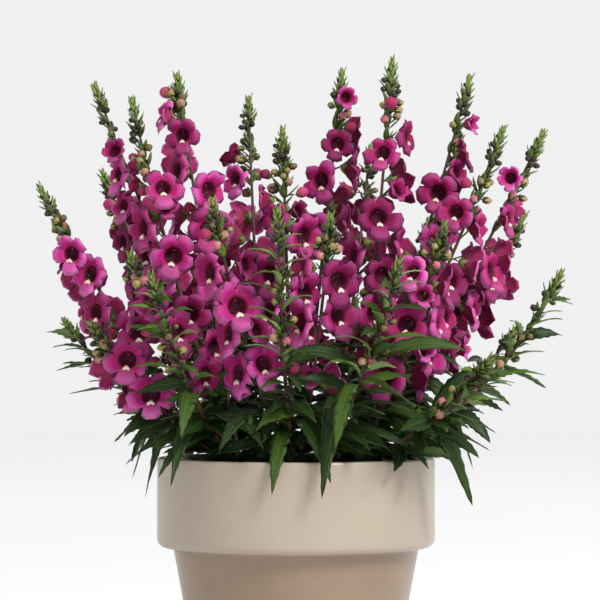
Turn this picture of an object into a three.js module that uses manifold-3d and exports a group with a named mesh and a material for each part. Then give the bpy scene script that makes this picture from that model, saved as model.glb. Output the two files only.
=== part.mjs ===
// Potted angelonia: a bushy plant with upright racemes of magenta flowers, in a tapered pot with a rim band.
// Millimetres, +Z up. The origin is the centre of the pot's flat base, and -Y is the front.

import * as THREE from 'three';
import { mergeVertices } from 'three/addons/utils/BufferGeometryUtils.js';
import Module from 'manifold-3d';

const wasm = await Module();
wasm.setup();

// Pot
const POT_SIDES = 28;
const POT_HEIGHT = 145;
const RIM_RADIUS = 80;
const RIM_BAND = 51;
const RIM_WALL = 5.5;
const RIM_ROUND = 4.5;
const RIM_EDGE = 1.2;
const BODY_TOP_RADIUS = 70.8;
const BASE_RADIUS = 53.3;
const FLOOR_RADIUS = 48;
const FLOOR = 8;

// Soil
const SOIL_TOP = 133;
const SOIL_BUMP = 1.2;
const SOIL_WAVE = { x: 0.21, y: 0.17, start: 1 };
const SOIL_CREST = 48;
const GAP = 0.3;
const TRIM_GAP = 0.4;
// Two solids that share less than this volume only touch.
const TOUCH = 1e-4;

// Root collars, one for each young plant, in plain holes in the soil
const COLLAR_SIDES = 6;
const COLLAR_RADIUS = 4.6;
const COLLAR_FOOT = 112;
const COLLAR_TOP = 142;
const COLLAR_RING = 31;
const COLLARS_ROUND = 5;
const STEM_ROOT = 138;
const STEM_ROOT_OFFSET = 1.8;
// A stem's root is sought at this share of its tip's distance from the pot's axis.
const ROOT_SHARE = 0.3;

// Stems
const STEM_SIDES = 4;
const STEM_RADIUS = 1.5;
const STEM_TAPER = 0.85;
const STEM_STATIONS = [0, 0.3, 0.62, 0.93];
// What grows inwards more than this share is turned out to the light.
const INWARDS = 0.3;
// The light comes from this much before each stem's foot, so that more flowers face the front.
const FRONT_BIAS = 40;
const CORE_WALL = 1.1;
const CORE_GAP = 0.45;

// Blooms
const BLOOM_SPACING = 11.2;
const BLOOM_SCALE = 1.08;
const BLOOM_REACH = 13;
const BLOOM_RISE = 3;
// How far a flower may turn aside, lean back and roll, in degrees or as a slope, and how its size varies.
const BLOOM_TURN = 18;
const BLOOM_LIFT = [-0.12, 0.3];
const BLOOM_ROLL = 14;
const BLOOM_SIZES = [0.93, 1.05];
// The flowers of a stem's top share are younger and smaller.
const YOUNG_FROM = 0.8;
const YOUNG_SIZE = 0.82;
const THROAT_DEPTH = 4.5;
const CUP_DEPTH = 7.5;
const STALK_RADIUS = 1.1;
// A flower's stalk narrows to a point this far beyond its stem's axis.
const STALK_BEYOND = 1.2;
// Each lobe of a flower: angle from straight up, reach, half angle of its end, how far it is forward.
const LOBES = [
  { angle: -104, reach: 12.4, half: 24, forward: 1.6 },
  { angle: -42, reach: 12.4, half: 0, forward: 1.4 },
  { angle: 42, reach: 12.4, half: 0, forward: 1.4 },
  { angle: 104, reach: 12.4, half: 24, forward: 1.6 },
  { angle: 180, reach: 14, half: 27, forward: 2.6 },
];
const NOTCH_REACH = 8.8;
const NOTCH_FORWARD = -0.2;
// The room a flower takes: a ball behind its middle, and one in each lobe at a share of its reach.
const HEART_BALL = { forward: -3, radius: 4.2 };
const LOBE_BALL = { share: 0.7, forward: 0.5, radius: 3.7 };
const CUP_CORNERS = [-104, 16, 136];

// Leaves, buds and tufts
const LEAF_HALF_THICK = 0.5;
const LEAF_FOLD = 0.2;
// Powers that set a leaf's outline: the first draws its widest place to the base, the second fills it out.
const LEAF_WIDEST = 0.8;
const LEAF_FULLNESS = 0.9;
const TOOTH = 0.8;
const TOOTH_CUT = 0.05;
const TOOTHED = [0.2, 0.82];
const SKIRT_TEETH = 3;
const SKIRT_RIBS = [0.2, 0.62];
const SMALL_EDGE = [{ at: 0.22, cut: 0 }, { at: 0.5, cut: 0 }, { at: 0.56, cut: 1 }];
const SMALL_RIBS = [0.42];
const LEAST_HALF_WIDTH = 0.4;
// How a leaf varies: its length and width as shares, its slant off the stem and its roll in degrees.
const LEAF_LENGTHS = [0.85, 1.1];
const LEAF_WIDTHS = [0.9, 1.15];
const LEAF_SLANTS = [44, 74];
const LEAF_ROLL = 42;
const LEAST_DROOP = 0.1;
const LEAF_TAPER = 0.5;
const WIDTH_PER_LENGTH = 0.22;
const WIDTH_BEYOND = 1;
// A lower leaf's arch: how far it rises for its reach, less a share of its drop.
const SKIRT_RISE = 0.22;
const SKIRT_DROP = 0.1;
// The room a leaf takes: balls along its middle.
const LEAF_BALLS = { places: [0.3, 0.45, 0.6, 0.75, 0.9], share: 0.36, least: 0.7, thin: 1.7 };
const BUD_RADIUS = 2.35;
const BUD_STALK = 6.5;
const BUD_RISE = 0.25;
const BUD_HANG = 0.6;
// The oldest and the youngest bud of a stem: size and length of stalk as shares.
const BUD_SIZES = [1.05, 0.7];
const STALK_LENGTHS = [1.1, 0.6];
const BUD_STALK_RADII = [0.4, 0.55];
const BUD_WAIST = 1.1;
const BUD_NECK = 0.85;
const BUDS_PER_RACEME = 2;
const BUDS_PER_SHOOT = 1;
const BUD_MARGIN = 0.04;
const BUD_END = 0.94;
const SHOOT_BUDS = [0.62, 0.92];
// Leaves on a flowering stem stand below its blooms; the outer stems carry more of them.
const LOW_LEAVES = { from: 0.12, margin: 0.03, length: 50, outer: 2, inner: 1, outerReach: 90 };
const LOW_DROOP = 1.1;
const SHOOT_DROOP = 0.7;
// The tuft of young bracts that ends each stem: a star of points round a short cone.
const TUFT_BRACTS = 4;
const TUFT_TURN = 0.6;
const TUFT_POINT = { out: 4.8, below: 2 };
const TUFT_VALLEY = { out: 1.6, below: 8.5 };

// A thin edge grows this many times as far as a face, so that what is cut by it stays clear of the face too.
const EDGE_GROWTH = 4;

// How much nearer than just touching two organs of one node may be placed.
const SHARED = 0.85;
// Edges shorter than this that fusing leaves behind are smoothed away.
const SMOOTHING = 0.2;

// Every organ keeps this far from the organs of other nodes when it is placed.
const CLEARANCE = 0.6;
const STEM_SPARE = 0.2;
const TUFT_BALL = { at: 0.97, radius: 4 };
const CELL = 12;
const SEEDS = { blooms: 4001, leaves: 9001, buds: 7001 };
const SEED_STEP = 97;
const GOLDEN = THREE.MathUtils.degToRad(137.5);
const SIDE_STEPS = [0, 25, -25, 50, -50, 75, -75, 100, -100];

// Flowering stems: tip, bow (0.5 is straight, more arches outwards first), the stretch that carries blooms.
const RACEMES = [
  { key: 'A', tip: [-148, -10, 302], bow: 0.58, blooms: [0.46, 0.8] },
  { key: 'B', tip: [-121, 45, 367], bow: 0.54, blooms: [0.36, 0.76] },
  { key: 'C', tip: [-93, -40, 350], bow: 0.58, blooms: [0.32, 0.78] },
  { key: 'D', tip: [-69, 0, 368], bow: 0.54, blooms: [0.34, 0.9] },
  { key: 'F', tip: [-29, 60, 361], bow: 0.52, blooms: [0.38, 0.78] },
  { key: 'G', tip: [-8, -5, 335], bow: 0.5, blooms: [0.36, 0.8] },
  { key: 'J', tip: [27, 20, 372], bow: 0.52, blooms: [0.36, 0.86] },
  { key: 'K', tip: [55, -25, 374], bow: 0.58, blooms: [0.32, 0.84] },
  { key: 'M', tip: [103, 30, 370], bow: 0.54, blooms: [0.34, 0.8] },
  { key: 'O', tip: [119, -20, 335], bow: 0.54, blooms: [0.34, 0.76] },
  { key: 'P', tip: [145, 10, 335], bow: 0.54, blooms: [0.38, 0.78] },
  { key: 'T', tip: [-116, -45, 223], bow: 0.62, blooms: [0.42, 0.8] },
  { key: 'U', tip: [-46, -84, 290], bow: 0.62, blooms: [0.34, 0.84] },
  { key: 'V', tip: [19, -88, 282], bow: 0.62, blooms: [0.34, 0.84] },
  { key: 'W', tip: [82, -78, 278], bow: 0.62, blooms: [0.34, 0.84] },
  { key: 'X', tip: [-92, -72, 262], bow: 0.62, blooms: [0.34, 0.84] },
  { key: 'E', tip: [-119, 78, 317], bow: 0.56, blooms: [0.4, 0.8] },
  { key: 'L', tip: [46, 112, 336], bow: 0.58, blooms: [0.34, 0.8] },
  { key: 'N', tip: [102, 92, 340], bow: 0.56, blooms: [0.36, 0.8] },
  { key: 'Y', tip: [-58, 108, 315], bow: 0.6, blooms: [0.34, 0.8] },
  { key: 'Z', tip: [-6, 126, 300], bow: 0.62, blooms: [0.34, 0.82] },
  { key: 'G2', tip: [138, 56, 290], bow: 0.6, blooms: [0.4, 0.8] },
  { key: 'H2', tip: [84, 128, 292], bow: 0.62, blooms: [0.38, 0.8] },
  { key: 'J2', tip: [-132, 28, 262], bow: 0.62, blooms: [0.42, 0.82] },
  { key: 'K2', tip: [-94, 122, 280], bow: 0.62, blooms: [0.4, 0.8] },
];

// Leafy shoots without open flowers: tip, bow, the stretch with leaves, how many, and the longest leaf.
const SHOOTS = [
  { key: 'H', tip: [-10, -98, 286], bow: 0.72, leaves: [0.4, 0.9], count: 7, length: 28 },
  { key: 'I', tip: [-79, -92, 249], bow: 0.66, leaves: [0.3, 0.92], count: 7, length: 34 },
  { key: 'R', tip: [56, -104, 257], bow: 0.7, leaves: [0.25, 0.92], count: 8, length: 44 },
  { key: 'S', tip: [106, -104, 203], bow: 0.62, leaves: [0.3, 0.92], count: 7, length: 42 },
  { key: 'Q', tip: [151, -28, 252], bow: 0.7, leaves: [0.3, 0.94], count: 7, length: 38 },
  { key: 'S2', tip: [136, 84, 222], bow: 0.66, leaves: [0.3, 0.92], count: 6, length: 42 },
  { key: 'R2', tip: [38, 140, 240], bow: 0.7, leaves: [0.25, 0.92], count: 6, length: 44 },
  { key: 'I2', tip: [-68, 136, 232], bow: 0.68, leaves: [0.25, 0.92], count: 6, length: 42 },
  { key: 'Q2', tip: [-142, 78, 226], bow: 0.66, leaves: [0.3, 0.92], count: 6, length: 42 },
];

// Large lower leaves: the stem they grow from, where along it, the tip, the width, and the roll in degrees.
const SKIRT = [
  { stem: 'S', at: 0.44, tip: [98, -56, 120], width: 15, roll: 55 },
  { stem: 'W', at: 0.28, tip: [76, -78, 158], width: 12, roll: 30 },
  { stem: 'S', at: 0.38, tip: [101, -66, 147], width: 13, roll: 40 },
  { stem: 'S', at: 0.5, tip: [114, -56, 188], width: 14, roll: 55 },
  { stem: 'R', at: 0.6, tip: [94, -84, 205], width: 11, roll: 50 },
  { stem: 'R', at: 0.56, tip: [-8, -94, 202], width: 11, roll: -50 },
  { stem: 'R', at: 0.44, tip: [14, -95, 126], width: 16, roll: -15 },
  { stem: 'R', at: 0.5, tip: [21, -99, 152], width: 12, roll: 0 },
  { stem: 'V', at: 0.3, tip: [21, -90, 160], width: 12, roll: 0 },
  { stem: 'H', at: 0.28, tip: [19, -92, 134], width: 13, roll: 10 },
  { stem: 'V', at: 0.26, tip: [-22, -88, 162], width: 13, roll: -30 },
  { stem: 'H', at: 0.22, tip: [-13, -92, 128], width: 12, roll: 0 },
  { stem: 'I', at: 0.34, tip: [-17, -90, 152], width: 14, roll: 20 },
  { stem: 'U', at: 0.26, tip: [-42, -88, 151], width: 12, roll: -15 },
  { stem: 'I', at: 0.46, tip: [-62, -92, 158], width: 12, roll: -10 },
  { stem: 'I', at: 0.24, tip: [-76, -60, 136], width: 11, roll: -40 },
  { stem: 'X', at: 0.3, tip: [-69, -66, 131], width: 11, roll: -30 },
  { stem: 'T', at: 0.36, tip: [-86, -18, 122], width: 10, roll: -50 },
  { stem: 'T', at: 0.4, tip: [-96, -50, 158], width: 13, roll: -50 },
  { stem: 'P', at: 0.28, tip: [102, -4, 138], width: 12, roll: 40 },
  { stem: 'Q', at: 0.36, tip: [110, -28, 154], width: 13, roll: 40 },
  { stem: 'G2', at: 0.3, tip: [98, 32, 126], width: 13, roll: 25 },
  { stem: 'S2', at: 0.4, tip: [94, 62, 142], width: 14, roll: -30 },
  { stem: 'N', at: 0.26, tip: [70, 76, 124], width: 13, roll: 20 },
  { stem: 'H2', at: 0.32, tip: [54, 96, 138], width: 14, roll: -25 },
  { stem: 'R2', at: 0.34, tip: [26, 96, 122], width: 13, roll: 15 },
  { stem: 'Z', at: 0.3, tip: [-2, 100, 144], width: 14, roll: -15 },
  { stem: 'Y', at: 0.28, tip: [-28, 92, 121], width: 13, roll: 20 },
  { stem: 'I2', at: 0.38, tip: [-52, 90, 138], width: 14, roll: -20 },
  { stem: 'K2', at: 0.3, tip: [-70, 74, 124], width: 13, roll: 25 },
  { stem: 'Q2', at: 0.4, tip: [-98, 48, 140], width: 13, roll: 30 },
  { stem: 'J2', at: 0.32, tip: [-96, 22, 131], width: 12, roll: -30 },
];

// A seeded draw of numbers from 0 to 1.
class Draw {
  constructor(seed) {
    this.state = seed >>> 0;
  }

  next() {
    this.state = (Math.imul(this.state, 1664525) + 1013904223) >>> 0;
    return this.state / 4294967296;
  }

  between(low, high) {
    return low + (high - low) * this.next();
  }
}

const vec = (x, y, z) => new THREE.Vector3(x, y, z);
const UP = vec(0, 0, 1);
const radians = THREE.MathUtils.degToRad;

// A point that lies amounts along directions from a start: moved(p, [a, 2], [b, 1]) is p + 2a + b.
function moved(start, ...steps) {
  const point = start.clone();
  for (const [direction, amount] of steps) point.addScaledVector(direction, amount);
  return point;
}

// The space that organs already take up, as balls in a grid of cells.
class Room {
  constructor() {
    this.cells = new Map();
  }

  cellsNear(point, span) {
    const low = [point.x - span, point.y - span, point.z - span].map((v) => Math.floor(v / CELL));
    const high = [point.x + span, point.y + span, point.z + span].map((v) => Math.floor(v / CELL));
    const keys = [];
    for (let i = low[0]; i <= high[0]; i += 1)
      for (let j = low[1]; j <= high[1]; j += 1)
        for (let k = low[2]; k <= high[2]; k += 1) keys.push(`${i},${j},${k}`);
    return keys;
  }

  claim(balls, node) {
    for (const ball of balls)
      for (const key of this.cellsNear(ball.point, ball.radius)) {
        if (!this.cells.has(key)) this.cells.set(key, []);
        this.cells.get(key).push({ ...ball, node });
      }
  }

  // Organs of the same node may lie closer, because they are fused.
  isFree(balls, node) {
    for (const ball of balls) {
      if (!clearOfPot(ball)) return false;
      for (const key of this.cellsNear(ball.point, ball.radius + CLEARANCE))
        for (const other of this.cells.get(key) ?? []) {
          const together = ball.radius + other.radius;
          const least = other.node === node ? SHARED * together : together + CLEARANCE;
          if (other.node === node && other.stem) continue;
          if (ball.point.distanceTo(other.point) < least) return false;
        }
    }
    return true;
  }
}

// Above the rim, outside the pot, or inside it above the soil.
function clearOfPot({ point, radius: full, thin }) {
  const radius = thin ?? full;
  const out = Math.hypot(point.x, point.y);
  if (point.z - radius > POT_HEIGHT + 1) return true;
  if (out - radius > RIM_RADIUS + 0.6) return true;
  return out + radius < RIM_RADIUS - RIM_WALL - 1 && point.z - radius > SOIL_TOP + SOIL_BUMP + 0.4;
}

// Six young plants: one in the middle and five round it.
function collarPoints() {
  const points = [vec(0, 0, 0)];
  for (let i = 0; i < COLLARS_ROUND; i += 1) {
    const angle = radians(90 + (360 * (i + 0.5)) / COLLARS_ROUND);
    points.push(vec(COLLAR_RING * Math.cos(angle), COLLAR_RING * Math.sin(angle), 0));
  }
  return points;
}

const COLLARS = collarPoints();
const plantNode = (index) => `plant_${index + 1}`;
const racemeNode = (stem) => `raceme_${stem.key}`;

// A stem arches from the collar that lies nearest below it up to its tip.
function growStem(row) {
  const tip = vec(...row.tip);
  const below = vec(ROOT_SHARE * tip.x, ROOT_SHARE * tip.y, 0);
  const distances = COLLARS.map((collar) => collar.distanceTo(below));
  const plant = distances.indexOf(Math.min(...distances));
  const collar = COLLARS[plant];
  const lean = vec(tip.x - collar.x, tip.y - collar.y, 0).normalize();
  const root = moved(vec(collar.x, collar.y, STEM_ROOT), [lean, STEM_ROOT_OFFSET]);
  const reach = tip.clone().sub(root);
  const knee = vec(root.x + reach.x * row.bow, root.y + reach.y * row.bow, root.z + reach.z * (1 - row.bow));
  const curve = new THREE.QuadraticBezierCurve3(root, knee, tip);
  const stations = STEM_STATIONS.map((at) => station(curve, at));
  stations.push(station(curve, 1));
  const span = curve.getLength();
  const outward = vec(tip.x, tip.y - FRONT_BIAS, 0).normalize();
  return { ...row, plant, curve, stations, span, outward, node: plantNode(plant) };
}

// Where a stem's cross-section lies: its centre and two directions across it.
function station(curve, at) {
  const point = curve.getPoint(at);
  const along = curve.getTangent(at);
  const across = moved(vec(1, 0, 0), [along, -along.x]).normalize();
  return { at, point, across, other: along.clone().cross(across) };
}

// The cross-section between two stations, on the straight line that joins them.
function sectionAt(stem, at) {
  const last = stem.stations.length - 1;
  let i = 0;
  while (i < last - 1 && stem.stations[i + 1].at < at) i += 1;
  const from = stem.stations[i];
  const to = stem.stations[i + 1];
  const share = (at - from.at) / (to.at - from.at);
  const mix = (name) => from[name].clone().lerp(to[name], share);
  return { at, point: mix('point'), across: mix('across'), other: mix('other') };
}

const stemRadius = (at) => STEM_RADIUS - STEM_TAPER * at;

function stemBalls(stem, from, to, extra) {
  const count = Math.ceil((stem.span * (to - from)) / 4);
  const balls = [];
  for (let i = 0; i <= count; i += 1) {
    const at = from + ((to - from) * i) / count;
    balls.push({ point: sectionAt(stem, at).point, radius: stemRadius(at) + extra, stem: true });
  }
  return balls;
}

// The direction across a stem at an angle; one that points inwards is turned to the light outside.
function sideways(stem, at, angle) {
  const section = sectionAt(stem, at);
  const side = moved(vec(0, 0, 0), [section.across, Math.cos(angle)], [section.other, Math.sin(angle)]);
  side.normalize();
  const inwards = side.dot(stem.outward);
  if (inwards < -INWARDS) side.addScaledVector(stem.outward, -2 * inwards).normalize();
  return side;
}

// Blooms

function makeBloom(stem, at, angle, draw) {
  const side = sideways(stem, at, angle);
  const base = sectionAt(stem, at).point;
  const level = vec(side.x, side.y, 0).normalize();
  const facing = level.applyAxisAngle(UP, draw.turn);
  facing.z = draw.lift;
  facing.normalize();
  const heart = moved(base, [side, BLOOM_REACH * (0.6 + 0.4 * draw.size)], [UP, BLOOM_RISE]);
  const up = moved(UP, [facing, -facing.z]).normalize();
  up.applyAxisAngle(facing, draw.roll);
  return { stem, base, heart, facing, up, across: facing.clone().cross(up), size: draw.size };
}

function bloomPoint(bloom, angle, reach, forward) {
  const a = radians(angle);
  return moved(
    bloom.heart,
    [bloom.across, Math.sin(a) * reach * bloom.size],
    [bloom.up, Math.cos(a) * reach * bloom.size],
    [bloom.facing, forward * bloom.size],
  );
}

function bloomBalls(bloom) {
  const middle = bloomPoint(bloom, 0, 0, HEART_BALL.forward);
  const balls = [{ point: middle, radius: HEART_BALL.radius * bloom.size }];
  for (const lobe of LOBES) {
    const point = bloomPoint(bloom, lobe.angle, LOBE_BALL.share * lobe.reach, LOBE_BALL.forward);
    balls.push({ point, radius: LOBE_BALL.radius * bloom.size });
  }
  return balls;
}

function placeBlooms(stem, index, room) {
  const [from, to] = stem.blooms;
  const count = Math.round((stem.span * (to - from)) / BLOOM_SPACING);
  const random = new Draw(SEEDS.blooms + SEED_STEP * index);
  const start = random.between(0, 2 * Math.PI);
  const placed = [];
  for (let i = 0; i < count; i += 1) {
    const up = (i + 0.5) / count;
    const at = from + (to - from) * up;
    const draw = {
      turn: radians(random.between(-BLOOM_TURN, BLOOM_TURN)),
      lift: random.between(...BLOOM_LIFT),
      roll: radians(random.between(-BLOOM_ROLL, BLOOM_ROLL)),
      size: BLOOM_SCALE * (up > YOUNG_FROM ? YOUNG_SIZE : 1) * random.between(...BLOOM_SIZES),
    };
    for (const step of SIDE_STEPS) {
      const bloom = makeBloom(stem, at, start + GOLDEN * i + radians(step), draw);
      const balls = bloomBalls(bloom);
      if (!room.isFree(balls, racemeNode(stem))) continue;
      room.claim(balls, racemeNode(stem));
      placed.push(bloom);
      break;
    }
  }
  return placed;
}

// Leaves

// A leaf that leaves the stem at a slant, arches out and droops at its end.
function makeLeaf(stem, at, angle, draw) {
  const side = sideways(stem, at, angle);
  const base = sectionAt(stem, at).point;
  const along = stem.curve.getTangent(at);
  const rise = moved(vec(0, 0, 0), [side, Math.sin(draw.slant)], [along, Math.cos(draw.slant)]).normalize();
  const level = vec(side.x, side.y, 0).normalize();
  const fall = moved(level, [UP, -draw.droop]).normalize();
  const middle = moved(base, [rise, 0.5 * draw.length]);
  const tip = moved(middle, [fall, 0.5 * draw.length]);
  const across = side.clone().cross(along).normalize().applyAxisAngle(rise, draw.roll);
  const curve = new THREE.QuadraticBezierCurve3(base, middle, tip);
  return { node: stem.node, curve, across, width: draw.width, isLarge: false };
}

// A lower leaf that arches from its stem over the rim to a given tip.
function makeSkirtLeaf(stem, row) {
  const base = sectionAt(stem, row.at).point;
  const tip = vec(...row.tip);
  const reach = tip.clone().sub(base);
  const drop = base.z - tip.z;
  const middle = moved(base, [reach, 0.5]);
  middle.z = Math.max(base.z, tip.z) + SKIRT_RISE * reach.length() - SKIRT_DROP * drop;
  const across = reach.clone().cross(UP).normalize();
  across.applyAxisAngle(reach.clone().normalize(), radians(row.roll));
  const curve = new THREE.QuadraticBezierCurve3(base, middle, tip);
  return { node: stem.node, curve, across, width: row.width, isLarge: true };
}

function leafBalls(leaf) {
  return LEAF_BALLS.places.map((at) => ({
    point: leaf.curve.getPoint(at),
    radius: LEAF_BALLS.share * leaf.width * leafShape(at) + LEAF_BALLS.least,
    thin: LEAF_BALLS.thin,
  }));
}

// The half width along a leaf as a share of its greatest: widest before the middle, a long point.
const leafShape = (at) => Math.pow(Math.sin(Math.PI * Math.pow(at, LEAF_WIDEST)), LEAF_FULLNESS);

function placeLeaves(stem, index, room, plan) {
  const [from, to] = plan.leaves;
  const random = new Draw(SEEDS.leaves + SEED_STEP * index);
  const start = random.between(0, 2 * Math.PI);
  const placed = [];
  for (let i = 0; i < plan.count; i += 1) {
    const up = (i + 0.5) / plan.count;
    const at = from + (to - from) * up;
    const length = plan.length * (1 - LEAF_TAPER * up * up) * random.between(...LEAF_LENGTHS);
    const draw = {
      slant: radians(random.between(...LEAF_SLANTS)),
      droop: random.between(LEAST_DROOP, plan.droop),
      roll: radians(random.between(-LEAF_ROLL, LEAF_ROLL)),
      length,
      width: (WIDTH_PER_LENGTH * length + WIDTH_BEYOND) * random.between(...LEAF_WIDTHS),
    };
    for (const step of SIDE_STEPS) {
      const leaf = makeLeaf(stem, at, start + GOLDEN * i + radians(step), draw);
      const balls = leafBalls(leaf);
      if (!room.isFree(balls, stem.node)) continue;
      room.claim(balls, stem.node);
      placed.push(leaf);
      break;
    }
  }
  return placed;
}

// Buds

function makeBud(stem, at, angle, share) {
  const side = sideways(stem, at, angle);
  const base = sectionAt(stem, at).point;
  const out = moved(side, [UP, BUD_RISE]).normalize();
  const stalk = BUD_STALK * THREE.MathUtils.lerp(...STALK_LENGTHS, share);
  const radius = BUD_RADIUS * THREE.MathUtils.lerp(...BUD_SIZES, share);
  const heart = moved(base, [out, stalk], [UP, -BUD_HANG * (1 - share)]);
  return { node: stem.node, base, out, heart, radius };
}

function placeBuds(stem, index, room, [from, to], count) {
  const random = new Draw(SEEDS.buds + SEED_STEP * index);
  const start = random.between(0, 2 * Math.PI);
  const placed = [];
  for (let i = 0; i < count; i += 1) {
    const share = (i + 0.5) / count;
    for (const step of SIDE_STEPS) {
      const bud = makeBud(stem, from + (to - from) * share, start + GOLDEN * i + radians(step), share);
      const balls = [{ point: bud.heart, radius: bud.radius }];
      if (!room.isFree(balls, stem.node)) continue;
      room.claim(balls, stem.node);
      placed.push(bud);
      break;
    }
  }
  return placed;
}

// The whole plan: every stem, then what grows on it, each organ clear of the others.
function growPlants() {
  const stems = [...RACEMES, ...SHOOTS].map(growStem);
  const room = new Room();
  for (const stem of stems) {
    room.claim(stemBalls(stem, 0, BUD_END, STEM_SPARE), stem.node);
    room.claim([{ point: sectionAt(stem, TUFT_BALL.at).point, radius: TUFT_BALL.radius }], stem.node);
    if (stem.blooms) room.claim(stemBalls(stem, ...stem.blooms, CORE_WALL + CORE_GAP), racemeNode(stem));
  }
  const named = new Map(stems.map((stem) => [stem.key, stem]));
  const leaves = [];
  for (const row of SKIRT) {
    const leaf = makeSkirtLeaf(named.get(row.stem), row);
    room.claim(leafBalls(leaf), leaf.node);
    leaves.push(leaf);
  }
  stems.forEach((stem, i) => {
    if (!stem.blooms) leaves.push(...placeLeaves(stem, i, room, { ...stem, droop: SHOOT_DROOP }));
  });
  const blooms = [];
  stems.forEach((stem, i) => {
    if (stem.blooms) blooms.push(...placeBlooms(stem, i, room));
  });
  stems.forEach((stem, i) => {
    if (!stem.blooms) return;
    const { from, margin, length, outer, inner, outerReach } = LOW_LEAVES;
    const count = Math.hypot(stem.tip[0], stem.tip[1]) > outerReach ? outer : inner;
    const plan = { leaves: [from, stem.blooms[0] - margin], count, length, droop: LOW_DROOP };
    leaves.push(...placeLeaves(stem, i, room, plan));
  });
  const buds = [];
  stems.forEach((stem, i) => {
    const stretch = stem.blooms ? [stem.blooms[1] + BUD_MARGIN, BUD_END] : SHOOT_BUDS;
    buds.push(...placeBuds(stem, i, room, stretch, stem.blooms ? BUDS_PER_RACEME : BUDS_PER_SHOOT));
  });
  return { stems, leaves, blooms, buds };
}

// Solids

// Points and triangles of one closed form, turned to face outwards when it becomes a solid.
class Skin {
  constructor() {
    this.points = [];
    this.faces = [];
  }

  add(point) {
    this.points.push(point);
    return this.points.length - 1;
  }

  loop(points) {
    return points.map((point) => this.add(point));
  }

  fan(hub, loop) {
    loop.forEach((corner, i) => this.faces.push([hub, corner, loop[(i + 1) % loop.length]]));
  }

  // Joins two closed loops that may differ in their number of corners.
  band(low, high) {
    let i = 0;
    let j = 0;
    while (i < low.length || j < high.length) {
      const lowIsBehind = (i + 1) / low.length <= (j + 1) / high.length;
      const stepLow = j >= high.length || (i < low.length && lowIsBehind);
      const a = low[i % low.length];
      const b = high[j % high.length];
      if (stepLow) {
        this.faces.push([a, low[(i + 1) % low.length], b]);
        i += 1;
      } else {
        this.faces.push([a, high[(j + 1) % high.length], b]);
        j += 1;
      }
    }
  }

  solid() {
    let volume = 0;
    for (const [a, b, c] of this.faces)
      volume += this.points[a].dot(this.points[b].clone().cross(this.points[c]));
    const faces = volume < 0 ? this.faces.map(([a, b, c]) => [a, c, b]) : this.faces;
    return new wasm.Manifold(new wasm.Mesh({
      numProp: 3,
      vertProperties: new Float32Array(this.points.flatMap((p) => [p.x, p.y, p.z])),
      triVerts: new Uint32Array(faces.flat()),
    }));
  }
}

// The corners of a cross-section with the given number of sides and radius.
function corners(section, sides, radius) {
  return Array.from({ length: sides }, (_, i) => {
    const angle = (2 * Math.PI * (i + 0.5)) / sides;
    const x = radius * Math.cos(angle);
    const y = radius * Math.sin(angle);
    return moved(section.point, [section.across, x], [section.other, y]);
  });
}

// A solid through a row of loops, closed flat at its start and flat or to a point at its end.
function sweep(rings, endPoint) {
  const skin = new Skin();
  const loops = rings.map((ring) => skin.loop(ring));
  const first = loops[0];
  const last = loops[loops.length - 1];
  for (let i = 2; i < first.length; i += 1) skin.faces.push([first[0], first[i], first[i - 1]]);
  loops.slice(1).forEach((loop, i) => skin.band(loops[i], loop));
  if (endPoint) skin.fan(skin.add(endPoint), last);
  else for (let i = 2; i < last.length; i += 1) skin.faces.push([last[0], last[i - 1], last[i]]);
  return skin.solid();
}

function stemSolid(stem, grow = 0) {
  const rings = stem.stations.slice(0, -1).map((s) => corners(s, STEM_SIDES, stemRadius(s.at) + grow));
  rings.push(tuftStar(stem, grow));
  return sweep(rings, moved(stem.stations.at(-1).point, [UP, grow]));
}

// The star of bract points and the valleys between them, above a stem's last cross-section.
function tuftStar(stem, grow) {
  const end = stem.stations.at(-1);
  const along = stem.curve.getTangent(1);
  return Array.from({ length: 2 * TUFT_BRACTS }, (_, i) => {
    const angle = (Math.PI * i) / TUFT_BRACTS + TUFT_TURN;
    const { out, below } = i % 2 === 0 ? TUFT_POINT : TUFT_VALLEY;
    const x = (out + grow) * Math.cos(angle);
    const y = (out + grow) * Math.sin(angle);
    return moved(end.point, [end.across, x], [end.other, y], [along, -below]);
  });
}

// The slim core that a raceme's blooms stand out of, round the green stem.
function coreSolid(stem, grow = 0) {
  const [from, to] = stem.blooms;
  const inner = stem.stations.filter((section) => section.at > from && section.at < to);
  const sections = [sectionAt(stem, from), ...inner, sectionAt(stem, to)];
  return sweep(sections.map((s) => corners(s, STEM_SIDES, stemRadius(s.at) + CORE_GAP + CORE_WALL + grow)));
}

function collarSolid(centre) {
  const profile = [
    [0, COLLAR_FOOT],
    [COLLAR_RADIUS - 0.6, COLLAR_FOOT],
    [COLLAR_RADIUS, SOIL_TOP - 5],
    [COLLAR_RADIUS - 1.2, COLLAR_TOP - 1],
    [0, COLLAR_TOP],
  ];
  return lathe(profile, COLLAR_SIDES).translate([centre.x, centre.y, 0]);
}

// A round solid from a profile of radius and height that starts and ends on the axis.
function lathe(profile, sides) {
  const geometry = new THREE.LatheGeometry(profile.map(([r, z]) => new THREE.Vector2(r, z)), sides);
  geometry.rotateX(Math.PI / 2);
  return solidOf(geometry);
}

function solidOf(geometry) {
  geometry.deleteAttribute('normal');
  geometry.deleteAttribute('uv');
  const merged = mergeVertices(geometry, 1e-4);
  const solid = new wasm.Manifold(new wasm.Mesh({
    numProp: 3,
    vertProperties: merged.attributes.position.array,
    triVerts: new Uint32Array(merged.index.array),
  }));
  return solid;
}

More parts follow.
